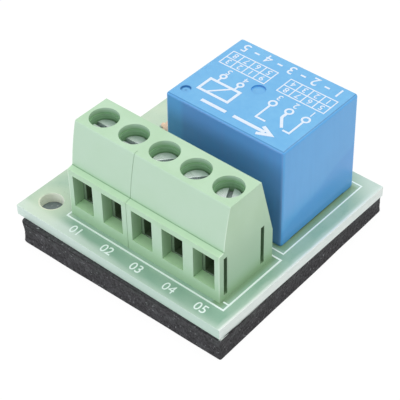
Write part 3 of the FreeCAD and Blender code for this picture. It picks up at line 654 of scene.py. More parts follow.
@dataclass(frozen=True)
class BlockPlastic:
    """The terminal blocks' green plastic, darker toward the board, in the brow's crease, wells, grooves
    and windows as painted shade, and paler on its front as painted sheen and light.
    """

    name: str = "block_green"
    colour: Colour = (0.48, 0.68, 0.49)
    shade: Colour = (0.44, 0.64, 0.44)
    # Painted shade toward the board and in the windows
    low: Colour = (0.31, 0.50, 0.29)
    # Painted shade on the right end face
    side: Colour = (0.37, 0.56, 0.39)
    # Painted sheen on the front's slope and pillars
    slope: Colour = (0.50, 0.67, 0.53)
    ledge_light: Colour = (0.51, 0.74, 0.50)
    # Painted highlight along the blocks' outer front edges
    edge: Colour = (0.74, 0.88, 0.74)
    lit: Colour = (0.61, 0.95, 0.56)
    crease_shade: Colour = (0.16, 0.34, 0.18)
    well_shade: Colour = (0.20, 0.40, 0.20)
    groove_shade: Colour = (0.05, 0.11, 0.05)
    roughness: float = 0.4
    slope_foot: Span = (8.0, 8.4)
    pillars: Band = ((2.2, 3.6), (6.6, 7.2))
    ledges: Band = ((7.2, 7.5), (8.1, 8.6))
    verge_left: Span = (7.02, 6.92)
    verge_right: Span = (32.02, 32.14)
    verge_back: Span = (6.0, 4.5)
    wells: tuple[Band, Band, Band] = (
        ((7.0, 7.2), (31.8, 32.0)), ((6.2, 6.6), (11.0, 11.2)), ((8.2, 8.6), (13.6, 14.33)),
    )
    well_rings: float = 14.0
    grooves: Span = (4.62, 11.68)
    groove_half: Span = (0.52, 0.46)
    groove_x: Band = ((31.4, 31.5), (32.12, 32.19))
    groove_z: Band = ((0.5, 0.7), (6.95, 7.1))
    window_top: Span = (7.2, 7.0)
    window_depth: Span = (2.4, 5.4)
    sills: Band = ((1.4, 1.7), (2.6, 3.0))
    end_wall: Span = (31.6, 31.8)
    end_fade: Span = (11.5, 4.5)
    foot_fade: Span = (2.6, 0.4)
    crease_height: float = 7.93
    crease_width: float = 0.1
    crease_from_front: float = 4.43
    crease_depth: Span = (0.16, 0.08)

    def make(self) -> bpy.types.Material:
        """Builds the material."""
        graph = Graph(self.name)
        at = graph.place(BOARD.corner)
        cloud = graph.noise(at, 4.0, 3.0)
        fine = graph.noise(at, 0.16, 2.0)
        colour = graph.mix((cloud * 0.75 + fine * 0.25).ramp(0.3, 0.7), self.shade, self.colour)
        places, facing = graph.parts(at), graph.facing()
        colour = self.fronts(graph, places, facing, cloud, colour)
        colour = self.hollows(graph, places, colour)
        colour = self.walls(graph, places, facing, colour)
        return graph.finish(graph.surface(
            colour,
            Roughness=self.roughness + (fine - 0.5) * 0.1,
            Normal=graph.bump(fine, 0.01),
        ))

    def fronts(self, graph: Graph, places: Parts, facing: Parts, cloud: Value, colour: Value) -> Value:
        """Adds painted sheen on the slope and pillars, painted light on the ledges, and a painted
        highlight along the outer edges.
        """
        x, y, z = places
        toward_x, toward_y, toward_z = facing
        front = (0.0 - toward_y).ramp(0.5, 0.8)
        # Painted sheen: front-facing slope and pillars turn a paler, bluer green
        colour = graph.mix(front * z.ramp(*self.slope_foot) * (0.55 + cloud * 0.4), colour, self.slope)
        colour = graph.mix(front * z.band(*self.pillars) * 0.7, colour, self.slope)
        # Painted light: upward-facing ledges are paler
        colour = graph.mix(toward_z.ramp(0.5, 0.8) * z.band(*self.ledges) * 0.8, colour, self.ledge_light)
        # Painted highlight: a pale line along the left and right front edges, fading toward the back
        verge_highlight = x.ramp(*self.verge_right).largest(x.ramp(*self.verge_left))
        verge_highlight = verge_highlight * (1.0 - abs(toward_x).ramp(0.85, 0.95))
        return graph.mix(verge_highlight * y.ramp(*self.verge_back) * 0.65, colour, self.edge)

    def hollows(self, graph: Graph, places: Parts, colour: Value) -> Value:
        """Adds painted shade in the screw wells, with faint rings, and in the dovetail grooves."""
        x, y, z = places
        # Painted shade down the screw wells' walls, with faint rings
        well_x, well_y, well_z = (part.band(*span) for part, span in zip(places, self.wells))
        rings = (z * self.well_rings).sine() * 0.1 + 0.8
        colour = graph.mix(well_x * well_y * well_z * rings, colour, self.well_shade)
        # Painted shade: the dovetail grooves on the right end are nearly black
        groove_shade = abs(y - self.grooves[0]).smallest(abs(y - self.grooves[1])).ramp(*self.groove_half)
        groove_shade = groove_shade * x.band(*self.groove_x) * z.band(*self.groove_z)
        return graph.mix(groove_shade * 0.85, colour, self.groove_shade)

    def walls(self, graph: Graph, places: Parts, facing: Parts, colour: Value) -> Value:
        """Adds painted shade on the right end, toward the board, in the windows and in the crease, and
        painted light on the sills.
        """
        x, y, z = places
        toward_x, _, toward_z = facing
        right_side = toward_x.ramp(0.7, 0.95)
        below = right_side * z.ramp(*self.window_top)
        outer = below * x.ramp(*self.end_wall)
        inner = below * x.ramp(*reversed(self.end_wall))
        end = right_side * x.ramp(*self.end_wall)
        # Painted shade: the right end face is darker, most of all low down
        colour = graph.mix(end * z.ramp(*self.end_fade), colour, self.side)
        # Painted shade: darker toward the board, more so on the right end below the windows
        colour = graph.mix(z.ramp(*self.foot_fade) * (0.65 + outer * 0.25), colour, self.low)
        # Painted shade on the windows' right-facing inner walls, deeper toward the back
        colour = graph.mix(inner * y.ramp(*self.window_depth) * 0.95, colour, self.low)
        # Painted light on the upward faces of the window sills
        colour = graph.mix(toward_z.ramp(0.7, 0.95) * z.band(*self.sills) * 0.8, colour, self.lit)
        # Painted shade: a dark line along the crease under the brow
        near = abs(z - self.crease_height).ramp(self.crease_width, 0.0)
        near = near * abs(y - self.crease_from_front).ramp(*self.crease_depth)
        return graph.mix(near * 0.75, colour, self.crease_shade)


@dataclass(frozen=True)
class RelayPlastic:
    """Glossy blue plastic with faint draw marks up the sides, painted light on its top, painted shade on
    its front and vent, a painted reflection of the board low on its right side, and a fine groove along
    the top's front and right edges darkened as painted shade.
    """

    name: str = "relay_blue"
    colour: Colour = (0.10, 0.40, 0.80)
    shade: Colour = (0.075, 0.33, 0.70)
    # Painted light on the top face
    top: Colour = (0.165, 0.47, 0.78)
    # Painted shade on the front face, darker toward its right end and its foot
    front: Colour = (0.11, 0.355, 0.73)
    front_right_shade: Colour = (0.11, 0.29, 0.65)
    front_foot_shade: Colour = (0.08, 0.22, 0.47)
    side_foot_reflection: Colour = (0.08, 0.34, 0.76)
    line: Colour = (0.04, 0.19, 0.45)
    line_inset: float = 0.34
    line_width: float = 0.1
    line_below_top: Span = (0.2, 0.05)
    front_shade_from: Span = (14.9, 15.9)
    side_shade_height: float = 3.2
    side_shade_rise: float = 0.32
    foot_fade: Span = (4.0, -2.0)
    foot_rise: float = 0.25
    vent: tuple[float, float, float] = (1.7, 2.25, 0.66)
    roughness: float = 0.2

    def make(self) -> bpy.types.Material:
        """Builds the material."""
        graph = Graph(self.name)
        at = graph.place(BOARD.corner)
        x, y, z = graph.parts(at)
        low, high = BOARD.box("relay_case")
        cloud = graph.noise(at, 5.0, 2.0)
        streaks = graph.noise(graph.stretched(at, (1.0, 1.0, 9.0)), 0.7, 3.0)
        fine = graph.noise(at, 0.12, 2.0)
        mottle = (cloud * 0.5 + streaks * 0.35 + fine * 0.15).ramp(0.35, 0.65)
        toward_x, toward_y, toward_z = graph.facing()
        top, front = toward_z.ramp(0.6, 0.9), (0.0 - toward_y).ramp(0.6, 0.9)
        # Painted reflection of the board: the right side is darker below a sloping line
        slope = z - self.side_shade_height - (y - low[1]) * self.side_shade_rise + cloud * 1.5
        shaded = toward_x.ramp(0.6, 0.9) * slope.ramp(0.6, -0.6)
        colour = graph.mix(shaded * 0.8, self.colour, self.side_foot_reflection)
        # Painted shade: the front face, which the blocks keep from the light, darker toward its right end
        # and its foot
        colour = graph.mix(front, colour, self.front)
        colour = graph.mix(front * x.ramp(*self.front_shade_from), colour, self.front_right_shade)
        foot = (z - x * self.foot_rise).ramp(*self.foot_fade)
        colour = graph.mix(front * foot, colour, self.front_foot_shade)
        # Painted light: the upward-facing top is paler
        colour = graph.mix(top, colour, self.top)
        colour = graph.mix((1.0 - mottle) * 0.3, colour, self.shade)
        # Painted shade: a fine dark groove just inside the top's front and right edges
        from_sides = (high[0] - x).smallest(y - low[1])
        line = abs(from_sides - self.line_inset).ramp(self.line_width, self.line_width * 0.4)
        line = line * z.ramp(*(high[2] - fall for fall in self.line_below_top))
        colour = graph.mix(line * 0.7, colour, self.line)
        # Painted shade in the vent
        colour = graph.mix(self.vent_shade(x - low[0], y - low[1], z - high[2]), colour, self.line)
        height = fine * 0.15 + streaks * 0.35 + cloud * 0.5 - line * 0.5
        return graph.finish(graph.surface(
            colour,
            Roughness=self.roughness + streaks * 0.08,
            Normal=graph.bump(height, 0.02),
        ))

    def vent_shade(self, x: Value, y: Value, z: Value) -> Value:
        """Painted shade on the back left of the vent's rim, as a dark arc, and a dark speck in its middle,
        by places measured from the top's corner.
        """
        across, back = x - self.vent[0], y - self.vent[1]
        squared = across * across + back * back
        on_top = z.ramp(-0.6, -0.5)
        arc = abs(squared ** 0.5 - self.vent[2]).ramp(0.2, 0.05) * (back - across).ramp(-0.2, 0.5)
        return (arc * 0.85).largest(squared.ramp(0.05, 0.02) * 0.5) * on_top


@dataclass(frozen=True)
class BoardLaminate:
    """Pale green laminate: lacquered top over copper fields, whitish sawn edges, with painted glow and
    highlight near its edges and painted shade at the parts' feet.
    """

    name: str = "laminate"
    lacquer: Colour = (0.30, 0.49, 0.38)
    copper_field: Colour = (0.23, 0.42, 0.31)
    pale: Colour = (0.44, 0.60, 0.49)
    cream: Colour = (0.62, 0.735, 0.55)
    # Painted light: glow of light through the laminate near its edges
    edge_glow: Colour = (0.66, 0.78, 0.71)
    edge: Colour = (0.84, 0.90, 0.87)
    fibre: Colour = (0.76, 0.85, 0.81)
    # Painted shade on the sawn front face, darker still toward its right end
    front_edge: Colour = (0.62, 0.75, 0.68)
    front_edge_far: Colour = (0.49, 0.65, 0.56)
    # Painted light: the hole's wall is brightened against the shade it stands in
    bore: Colour = (0.97, 1.0, 0.88)
    bore_shade: Colour = (0.42, 0.47, 0.26)
    contact: Colour = (0.20, 0.34, 0.18)
    # Painted highlight on the front of the mounting hole's rim
    rim: Colour = (0.84, 0.84, 0.66)
    hole_radius: float = 1.7
    bore_wall: Span = (2.2, 1.9)
    bore_shadow: Span = (2.9, 3.8)
    warm_radius: Span = (5.5, 1.4)
    warm_left: Span = (13.0, 5.0)
    front_spread: Span = (24.0, 4.0)
    field_x: Span = (5.8, 9.8)
    field_y: Band = ((0.3, 1.6), (2.0, 3.0))
    right_field_x: Band = ((33.2, 33.8), (33.9, 34.9))
    right_field_y: Span = (3.0, 6.0)
    gap_field_y: Band = ((14.1, 14.6), (14.8, 15.3))
    blocks_foot_x: Band = ((31.0, 31.6), (32.4, 33.2))
    blocks_foot_y: Band = ((2.7, 3.3), (13.9, 14.6))
    relay_foot_x: Band = ((30.0, 31.0), (32.1, 33.2))
    relay_foot_y: Band = ((15.4, 16.0), (31.2, 31.9))

    def make(self) -> bpy.types.Material:
        """Builds the material."""
        graph = Graph(self.name)
        at = graph.place(BOARD.corner)
        x, y, _ = graph.parts(at)
        cloud = graph.noise(at, 3.5, 3.0, 0.55)
        fine = graph.noise(at, 0.25, 3.0)
        weave = graph.noise(graph.stretched(at, (3.0, 3.0, 0.25)), 0.5, 2.0)
        hole = graph.away(x, y, HOLE)
        _, toward_y, toward_z = graph.facing()
        up = toward_z.ramp(0.6, 0.85)
        sawn = self.sawn(graph, x, y, weave, hole, toward_y)
        return graph.finish(graph.surface(
            graph.mix(up, sawn, self.top(graph, x, y, cloud, hole)),
            Roughness=0.55 - up * 0.27 + (fine - 0.5) * 0.04,
            Coat_Weight=up * 0.25,
            Coat_Roughness=0.12,
            Normal=graph.bump((fine * 0.4 + weave * 0.6) * (1.0 - up * 0.85), 0.012),
        ))

    def top(self, graph: Graph, x: Value, y: Value, cloud: Value, hole: Value) -> Value:
        """The lacquered face: copper fields, a painted glow of light toward its edges, creamy at its left,
        a painted highlight on the hole's front rim, and dark where a foot keeps the light off.
        """
        size = BOARD.box("circuit_board")[1]
        from_right, from_back = size[0] - x, size[1] - y
        wander = (cloud - 0.5) * 1.2
        spread = x.ramp(*self.front_spread)
        colour = graph.mix(cloud.ramp(0.3, 0.75) * 0.6, self.lacquer, self.pale)
        colour = graph.mix(self.fields(x, y, wander) * 0.5, colour, self.copper_field)
        # Painted light: a pale glow near the front, right and back edges, whitest at the right edge
        near_front = (y + wander - spread * 1.2).ramp(1.0, -0.2)
        colour = graph.mix(near_front * (0.5 + spread * 0.35), colour, self.edge_glow)
        colour = graph.mix((from_right + wander).ramp(0.9, 0.3) * 0.5, colour, self.edge_glow)
        colour = graph.mix((from_right + wander * 0.15).ramp(0.45, 0.1) * 0.9, colour, self.edge)
        colour = graph.mix((from_right + from_back + wander).ramp(7.0, 1.5) * 0.7, colour, self.edge_glow)
        warm = hole.ramp(*self.warm_radius).largest((x + from_back * 0.3).ramp(*self.warm_left))
        colour = graph.mix(warm * (0.45 + cloud * 0.5), colour, self.cream)
        colour = graph.mix(self.contacts(x, y, wander) * 0.8, colour, self.contact)
        # Painted highlight on the front of the mounting hole's rim
        rim = abs(hole - self.hole_radius).ramp(0.16, 0.04) * y.ramp(3.6, 2.6)
        return graph.mix(rim * 0.55, colour, self.rim)

    def sawn(self, graph: Graph, x: Value, y: Value, weave: Value, hole: Value,
             toward_y: Value) -> Value:
        """The sawn edges: whitish fibres, greener and darker at the front as painted shade, and the hole's
        wall brightened as painted light, with its painted shade.
        """
        colour = graph.mix(weave.ramp(0.35, 0.7), self.fibre, self.edge)
        # Painted shade: the sawn front face is darker and greener, more so toward its right end
        front_edge = graph.mix(x.ramp(*self.front_spread), self.front_edge_far, self.front_edge)
        colour = graph.mix((0.0 - toward_y).ramp(0.7, 0.95) * 0.9, colour, front_edge)
        # Painted light on the hole's wall, with painted shade toward its right
        bore = graph.mix((x - y * 0.3).ramp(*self.bore_shadow), self.bore, self.bore_shade)
        return graph.mix(hole.ramp(*self.bore_wall), colour, bore)

    def contacts(self, x: Value, y: Value, wander: Value) -> Value:
        """How near a place is to the right foot of the blocks or the relay, where less light falls."""
        blocks = x.band(*self.blocks_foot_x) * y.band(*self.blocks_foot_y)
        left, right = self.relay_foot_x
        relay = x.ramp(*left) * (x + wander * 0.2).ramp(*reversed(right))
        return blocks.largest(relay * y.band(*self.relay_foot_y))

    def fields(self, x: Value, y: Value, wander: Value) -> Value:
        """Where copper lies under the lacquer: under the figures, at the right and between the parts."""
        near, far = self.field_y
        front = (x + wander).ramp(*self.field_x) * (y + wander * 0.5).ramp(*near)
        front = front * (y + wander * 0.3).ramp(*reversed(far))
        left, right = self.right_field_x
        strip = x.ramp(*left) * (x - wander * 0.4).ramp(*reversed(right))
        strip = strip * (y + wander).ramp(*self.right_field_y)
        return front.largest(strip * 0.3).largest(y.band(*self.gap_field_y) * 0.4)


@dataclass(frozen=True)
class CutFoam:
    """Charcoal foam: open cells on the cut edge, with a few that catch the light."""

    name: str = "cut_foam"
    colour: Colour = (0.043, 0.041, 0.046)
    pit: Colour = (0.008, 0.008, 0.009)
    fleck: Colour = (0.24, 0.25, 0.26)
    green: Colour = (0.040, 0.054, 0.047)
    cell: float = 0.42
    tinted: Span = (1.0, 3.4)

    def make(self) -> bpy.types.Material:
        """Builds the material."""
        graph = Graph(self.name)
        at = graph.place()
        cells = graph.cells(at, self.cell)
        small = graph.noise(at, 0.13, 3.0, 0.7)
        patch = graph.noise(at, 1.6, 2.0)
        blots = graph.noise(at, 0.3, 2.0, 0.6)
        depth = cells * 0.7 + (small - 0.5) * 1.2 + (blots - 0.5) * 1.6
        colour = graph.mix(depth.ramp(0.0, 0.6), self.pit, self.colour)
        lit = graph.flecks(at) * small.ramp(0.4, 0.6)
        colour = graph.mix(lit * 0.8, colour, self.fleck)
        colour = graph.mix(patch.ramp(0.5, 0.8) * 0.18, colour, self.fleck)
        tint = graph.noise(at, 0.9, 2.0).ramp(0.45, 0.65) * graph.parts(at)[2].ramp(*self.tinted)
        colour = graph.mix(tint * 0.35, colour, self.green)
        return graph.finish(graph.surface(
            colour,
            Roughness=0.85 - lit * 0.3,
            Normal=graph.bump(cells * 0.6 + small * 0.4, 0.16),
        ))


@dataclass(frozen=True)
class PlatedMetal:
    """Plated or drawn metal, with fine marks along one axis."""

    name: str
    colour: Colour
    dull: Colour
    roughness: float = 0.28
    marks: Axis = Axis.X
    mark_depth: float = 0.006

    def make(self) -> bpy.types.Material:
        """Builds the material."""
        graph = Graph(self.name)
        at = graph.place()
        sizes = [1.0, 1.0, 1.0]
        sizes[self.marks.value] = 14.0
        drawn = graph.noise(graph.stretched(at, sizes), 0.09, 3.0)
        cloud = graph.noise(at, 0.9, 2.0)
        colour = graph.mix((cloud * 0.6 + drawn * 0.4).ramp(0.35, 0.65), self.dull, self.colour)
        return graph.finish(graph.surface(
            colour,
            Metallic=1.0,
            Roughness=self.roughness + (drawn - 0.5) * 0.2 + (cloud - 0.5) * 0.15,
            Normal=graph.bump(drawn, self.mark_depth),
        ))


@dataclass(frozen=True)
class CageMetal:
    """Nickel on a clamp cage: bright at its mouth, with painted shade deeper in the housing."""

    name: str = "cage_nickel"
    colour: Colour = (0.34, 0.46, 0.34)
    dull: Colour = (0.24, 0.34, 0.24)
    # Painted shade deeper in the housing
    deep: Colour = (0.085, 0.13, 0.07)
    mouth: float = 5.35

    def make(self) -> bpy.types.Material:
        """Builds the material."""
        graph = Graph(self.name)
        at = graph.place(BOARD.corner)
        drawn = graph.noise(graph.stretched(at, (1.0, 14.0, 1.0)), 0.09, 3.0)
        # Painted shade: behind the cage's mouth its colour turns nearly black
        mouth = graph.parts(at)[1].ramp(self.mouth + 0.1, self.mouth)
        colour = graph.mix(drawn.ramp(0.35, 0.65), self.dull, self.colour)
        return graph.finish(graph.surface(
            graph.mix(mouth, self.deep, colour),
            Metallic=mouth * 0.4,
            Roughness=0.6 - mouth * 0.2 + (drawn - 0.5) * 0.15,
            Normal=graph.bump(drawn, 0.006),
        ))


@dataclass(frozen=True)
class TurnedHead:
    """Bright zinc on a screw, with turning rings round its own axis, a painted reflection of the well's
    green wall on its back, and painted shade in its slot.
    """

    name: str
    centre: tuple[float, float, float]
    colour: Colour = (0.93, 0.97, 1.0)
    # Dull zinc for random wear, and the painted reflection of the well's wall on the head's back
    dull: Colour = (0.36, 0.46, 0.42)
    slot_shade: Colour = (0.34, 0.38, 0.40)
    slot_range: tuple[float, float] = (2.0, 2.6)
    ring_step: float = 0.16
    shaded_back: Span = (-0.1, 1.3)

    def make(self) -> bpy.types.Material:
        """Builds the material."""
        graph = Graph(self.name)
        at = graph.place(self.centre)
        x, y, z = graph.parts(at)
        radius = (x * x + y * y) ** 0.5
        cloud = graph.noise(at, 0.9, 2.0, 0.5)
        rings = (radius * (2 * math.pi / self.ring_step) + cloud * 3.0).sine() * 0.5 + 0.5
        # Painted reflection: the head's back takes the greenish dull colour, as a mirror of the well's
        # wall
        lit = 1.0 - y.ramp(*self.shaded_back) * 0.9
        # The worn mask holds both random wear and the painted reflection on the back
        worn = (cloud * 0.75 + rings * 0.25).ramp(0.3, 0.62) * lit
        foot, rim = self.slot_range
        # Painted shade in the slot
        slot_shade = z.ramp(foot, foot + 0.1) * z.ramp(rim, rim - 0.2)
        return graph.finish(graph.surface(
            graph.mix(slot_shade * 0.85, graph.mix(worn, self.dull, self.colour), self.slot_shade),
            Metallic=0.6,
            Roughness=0.24 + (1.0 - worn) * 0.2,
            Normal=graph.bump(rings * 0.3 + cloud * 0.7, 0.008),
        ))


@dataclass(frozen=True)
class Ink:
    """White print, with a few pin holes."""

    name: str
    colour: Colour
    worn: Colour

    def make(self) -> bpy.types.Material:
        """Builds the material."""
        graph = Graph(self.name)
        at = graph.place()
        grain = graph.noise(at, 0.12, 2.0)
        return graph.finish(graph.surface(
            graph.mix(grain.ramp(0.42, 0.3), self.colour, self.worn),
            Roughness=0.5 + (grain - 0.5) * 0.2,
            Normal=graph.bump(grain, 0.006),
        ))


@dataclass(frozen=True)
class BondFilm:
    """Clear film over the foam: slate where light falls on it, crushed white at the right edge."""

    name: str = "bond_film"
    colour: Colour = (0.62, 0.68, 0.65)
    dark: Colour = (0.020, 0.020, 0.022)
    light: Colour = (0.050, 0.048, 0.053)
    slate: Colour = (0.17, 0.21, 0.22)
    speck: Colour = (0.45, 0.50, 0.50)
    seen_in_hole: Span = (1.6, 2.2)
    lit_round_hole: Span = (2.0, 12.0)
    crushed_x: Span = (34.9, 35.1)
    crushed_y: Band = ((-0.3, 0.3), (1.0, 12.0))

    def make(self) -> bpy.types.Material:
        """Builds the material."""
        graph = Graph(self.name)
        at = graph.place(BOARD.corner)
        x, y, _ = graph.parts(at)
        long_streaks = graph.noise(graph.stretched(at, (0.35, 6.0, 1.0)), 0.5, 3.0)
        crushed = graph.noise(at, 0.3, 3.0, 0.7)
        hole = graph.away(x, y, HOLE)
        blots = graph.noise(at, 0.3, 2.0, 0.6)
        colour = graph.mix(blots.ramp(0.4, 0.6), self.dark, self.light)
        colour = graph.mix(hole.ramp(*reversed(self.seen_in_hole)), colour, self.slate)
        specks = graph.flecks(at) * hole.ramp(*reversed(self.lit_round_hole))
        colour = graph.mix(specks * 0.5, colour, self.speck)
        streaks = x.ramp(*self.crushed_x) * y.band(*self.crushed_y) * long_streaks.ramp(0.43, 0.53)
        colour = graph.mix(streaks, colour, self.colour)
        return graph.finish(graph.surface(
            colour, Roughness=0.35 + crushed * 0.3, Normal=graph.bump(crushed, 0.03),
        ))


@dataclass(frozen=True)
class BandedBody:
    """A lacquered body with rings of colour at places along X."""

    name: str
    centre: tuple[float, float, float]
    length: float
    coat: Colour
    bands: tuple[tuple[float, float, Colour], ...]
    roughness: float = 0.35

    def make(self) -> bpy.types.Material:
        """Builds the material; a band is a place and width in shares of the length, with a colour."""
        graph = Graph(self.name)
        at = graph.place(self.centre)
        x = graph.parts(at)[0]
        cloud = graph.noise(at, 0.6, 3.0)
        colour = graph.mix(cloud.ramp(0.3, 0.7) * 0.35, self.coat, tuple(c * 0.8 for c in self.coat))
        for place, width, tint in self.bands:
            away = abs(x / self.length - place + (cloud - 0.5) * 0.02)
            colour = graph.mix(away.ramp(width / 2, width / 2 - 0.012), colour, tint)
        return graph.finish(graph.surface(
            colour, Roughness=self.roughness + cloud * 0.1, Normal=graph.bump(cloud, 0.02),
        ))


@dataclass(frozen=True)
class LampResin:
    """Red diffusing resin."""

    name: str = "lamp_red"
    colour: Colour = (0.62, 0.03, 0.025)
    deep: Colour = (0.38, 0.012, 0.012)

    def make(self) -> bpy.types.Material:
        """Builds the material."""
        graph = Graph(self.name)
        at = graph.place()
        cloud = graph.noise(at, 0.8, 2.0)
        return graph.finish(graph.surface(
            graph.mix(cloud.ramp(0.3, 0.7), self.deep, self.colour),
            Roughness=0.16 + cloud * 0.08,
            Normal=graph.bump(cloud, 0.008),
        ))


@dataclass(frozen=True)
class WoundCopper:
    """Enamelled wire wound in layers round an upright bobbin."""

    name: str = "wound_copper"
    colour: Colour = (0.72, 0.28, 0.11)
    gap: Colour = (0.20, 0.06, 0.03)
    wire: float = 0.12

    def make(self) -> bpy.types.Material:
        """Builds the material."""
        graph = Graph(self.name)
        at = graph.place()
        z = graph.parts(at)[2]
        turns = (z * (2 * math.pi / self.wire)).sine() * 0.5 + 0.5
        cloud = graph.noise(at, 1.5, 2.0)
        return graph.finish(graph.surface(
            graph.mix(turns.ramp(0.05, 0.5), self.gap, self.colour),
            Metallic=0.8,
            Roughness=0.3 + cloud * 0.15,
            Normal=graph.bump(turns, 0.04),
        ))


@dataclass(frozen=True)
class StudioFloor:
    """A white floor that keeps a soft shadow."""

    name: str = "studio_floor"
    colour: Colour = (0.86, 0.86, 0.86)
    kept_white: float = 0.9
    white_strength: float = 1.04

    def make(self) -> bpy.types.Material:
        """Builds the material: the camera sees mostly plain white, and the rest shows the light."""
        graph = Graph(self.name)
        at = graph.place()
        fine = graph.noise(at, 2.0, 2.0)
        shown = graph.surface(self.colour, Roughness=0.9 + (fine - 0.5) * 0.05)
        white = graph.node(
            "ShaderNodeEmission", {}, {"Color": (1, 1, 1, 1), "Strength": self.white_strength}
        )
        camera = graph.node("ShaderNodeLightPath", output="Is Camera Ray")
        glossy = graph.node("ShaderNodeLightPath", output="Is Glossy Ray")
        share = camera.largest(glossy) * self.kept_white
        mixed = graph.node("ShaderNodeMixShader", {}, {0: share, 1: shown, 2: white})
        return graph.finish(mixed)


INK_ON_BOARD = Ink("board_ink", (0.88, 1.0, 0.97), (0.80, 0.97, 0.90))
INK_ON_RELAY = Ink("relay_ink", (0.72, 0.80, 0.90), (0.52, 0.67, 0.88))


# Sub-assemblies


@dataclass
class FoamPad:
    """The foam under the board: knife-cut sides that lean in a little, rough with cells."""

    around: int = 900
    wall_rows: int = 22
    top_rows: int = 34
    bottom_rows: int = 16
    solid_radius: float = 0.5
    corner_radii: tuple[float, ...] = (0.25, 0.5, 0.8, 0.22)
    turn: float = 1.2
    waist: float = 0.16
    foot_round: float = 0.1
    swell: float = 0.1
    cell_depth: float = 0.06
    cell_layers: tuple[tuple[float, float, int], ...] = ((0.35, 0.6, 11), (0.17, 0.4, 12))
    cell_fade: float = 8.0
    wave_size: float = 5.0
    wave_depth: float = 0.04
    wave_seed: int = 13
    middle: float = 0.02
    dimple_radius: float = 0.75
    dimple_spare: float = 0.15

    def build(self) -> None:
        """Makes the pad and lets it stand for its plain solid."""
        mesh = sweep("foam_block", BOARD.metres(self.rings()), Ends.POLES, 60.0)
        piece = stand_in("foam_block", mesh, CutFoam().make(), "foam_pad")
        self.film()

    def film(self) -> None:
        """Makes the film on the pad: its outline, with the pad's corners, at two heights."""
        low, high = BOARD.box("adhesive_film")
        flat = (low + high)[:2] / 2 + self.outline(high - low)[0]
        rings = [np.column_stack([flat, np.full(len(flat), z)]) for z in (low[2], high[2])]
        mesh = sweep("film_sheet", BOARD.metres(np.stack(rings)), Ends.FLAT)
        stand_in("film_sheet", mesh, BondFilm().make(), "adhesive_film")

    def rings(self) -> Array:
        """Rings from the middle of the top, over its edge, down the wall and in under the foot.

        A ring is the outline times a share of its size, at one height. On the wall it
        is set in by a sine over the height, by a quarter circle at the foot, and by
        layers of ripples of the size of the foam's cells, each with its size, share
        and seed. The top dips over each lead.

        Returns:
            Places in the board's millimetres.
        """
        low, high = BOARD.box("foam_pad")
        centre = (low + high) / 2
        outline, outward = self.outline(high - low)
        height = high[2] - low[2]
        fall = np.linspace(0, 1, self.wall_rows)
        drop = fall * height
        foot = np.clip((drop - height + self.foot_round) / self.foot_round, 0, 1)
        inset = self.waist * np.sin(np.pi * fall) + self.foot_round * (1 - np.sqrt(1 - foot**2))
        wall = centre[:2] + outline[None] - outward[None] * inset[:, None, None]
        wall = np.dstack([wall, np.broadcast_to((high[2] - drop)[:, None], wall.shape[:2])])
        cells = sum(ripple(wall, size, seed) * share for size, share, seed in self.cell_layers)
        waves = ripple(wall, self.wave_size, self.wave_seed) * self.wave_depth
        edge = np.minimum(1, np.minimum(fall, 1 - fall) * self.cell_fade)[:, None]
        push = self.cell_depth * cells * edge + waves + self.swell
        wall[..., :2] += outward[None] * push[..., None]
        top = self.cap(wall[0], centre, np.linspace(self.middle, 1, self.top_rows, endpoint=False))
        top[..., 2] -= self.dimples(top)
        bottom = self.cap(wall[-1], centre, np.linspace(1, self.middle, self.bottom_rows + 1)[1:])
        return np.concatenate([top, wall, bottom])

    def outline(self, size: Array) -> tuple[Array, Array]:
        """The pad's outline, askew on the board.

        With the corners' radius taken off, a length L and a depth D turned by an angle
        a have a box of L cos a + D sin a by D cos a + L sin a. That is solved for L
        and D.

        Args:
            size: the box of the turned pad.

        Returns:
            The points and the outward unit vectors.
        """
        turn = math.radians(self.turn)
        cosine, sine = math.cos(turn), math.sin(turn)
        flat = size[:2] - 2 * self.solid_radius
        straight = (flat * cosine - flat[::-1] * sine) / (cosine**2 - sine**2)
        half = straight / 2 + self.solid_radius
        points, normals = rounded_outline(half, self.corner_radii, self.around)
        turned_by = np.array([[cosine, sine], [-sine, cosine]])
        return points @ turned_by, normals @ turned_by

    @staticmethod
    def cap(rim: Array, centre: Array, shares: Array) -> Array:
        """Rings that shrink a rim towards the middle."""
        middle = np.array([centre[0], centre[1], rim[0, 2]])
        return middle + (rim[None] - middle) * shares[:, None, None]

    def dimples(self, places: Array) -> Array:
        """How far the top dips over each lead's end: a bell of the dimple's radius."""
        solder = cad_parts["solder_joints"].data
        points = np.zeros(len(solder.vertices) * 3)
        solder.vertices.foreach_get("co", points)
        points = (points.reshape(-1, 3) - BOARD.corner) / MM
        _, high = BOARD.box("foam_pad")
        step = 0.5
        tips = np.unique(np.round(points[points[:, 2] < high[2]][:, :2] / step), axis=0) * step
        depth = high[2] - BOARD.box("coil_pin_front")[0][2] + self.dimple_spare
        dip = np.zeros(places.shape[:2])
        for x, y in tips:
            away = np.hypot(places[..., 0] - x, places[..., 1] - y) / self.dimple_radius
            dip = np.maximum(dip, depth * np.exp(-(away**4)))
        return dip


@dataclass
class PrintedLine:
    """One line of print: its points, width, and whether it closes on itself."""

    points: list[tuple[float, float]]
    width: float
    loop: bool = False

    def mesh(self, name: str, level: float, order: int) -> bpy.types.Mesh:
        """The line as a thin raised ribbon, a hair higher than the one before it in order."""
        height = INK_HEIGHT * (LINE_SHARE + LINE_STEP * order)
        rings = ribbon(np.array(self.points), self.width, height, level, self.loop)
        return sweep(name, BOARD.metres(rings), Ends.JOINED if self.loop else Ends.FLAT)


def rectangle(x_range: Sequence[float], y_range: Sequence[float]) -> list[tuple[float, float]]:
    """The corners of a rectangle in order."""
    (x0, x1), (y0, y1) = x_range, y_range
    return [(x0, y0), (x1, y0), (x1, y1), (x0, y1)]


def circle(centre: Sequence[float], radius: float, sides: int = 40) -> list[tuple[float, float]]:
    """Evenly spaced points of a circle."""
    turn = np.linspace(0, 2 * math.pi, sides, endpoint=False)
    return [(centre[0] + radius * math.cos(a), centre[1] + radius * math.sin(a)) for a in turn]


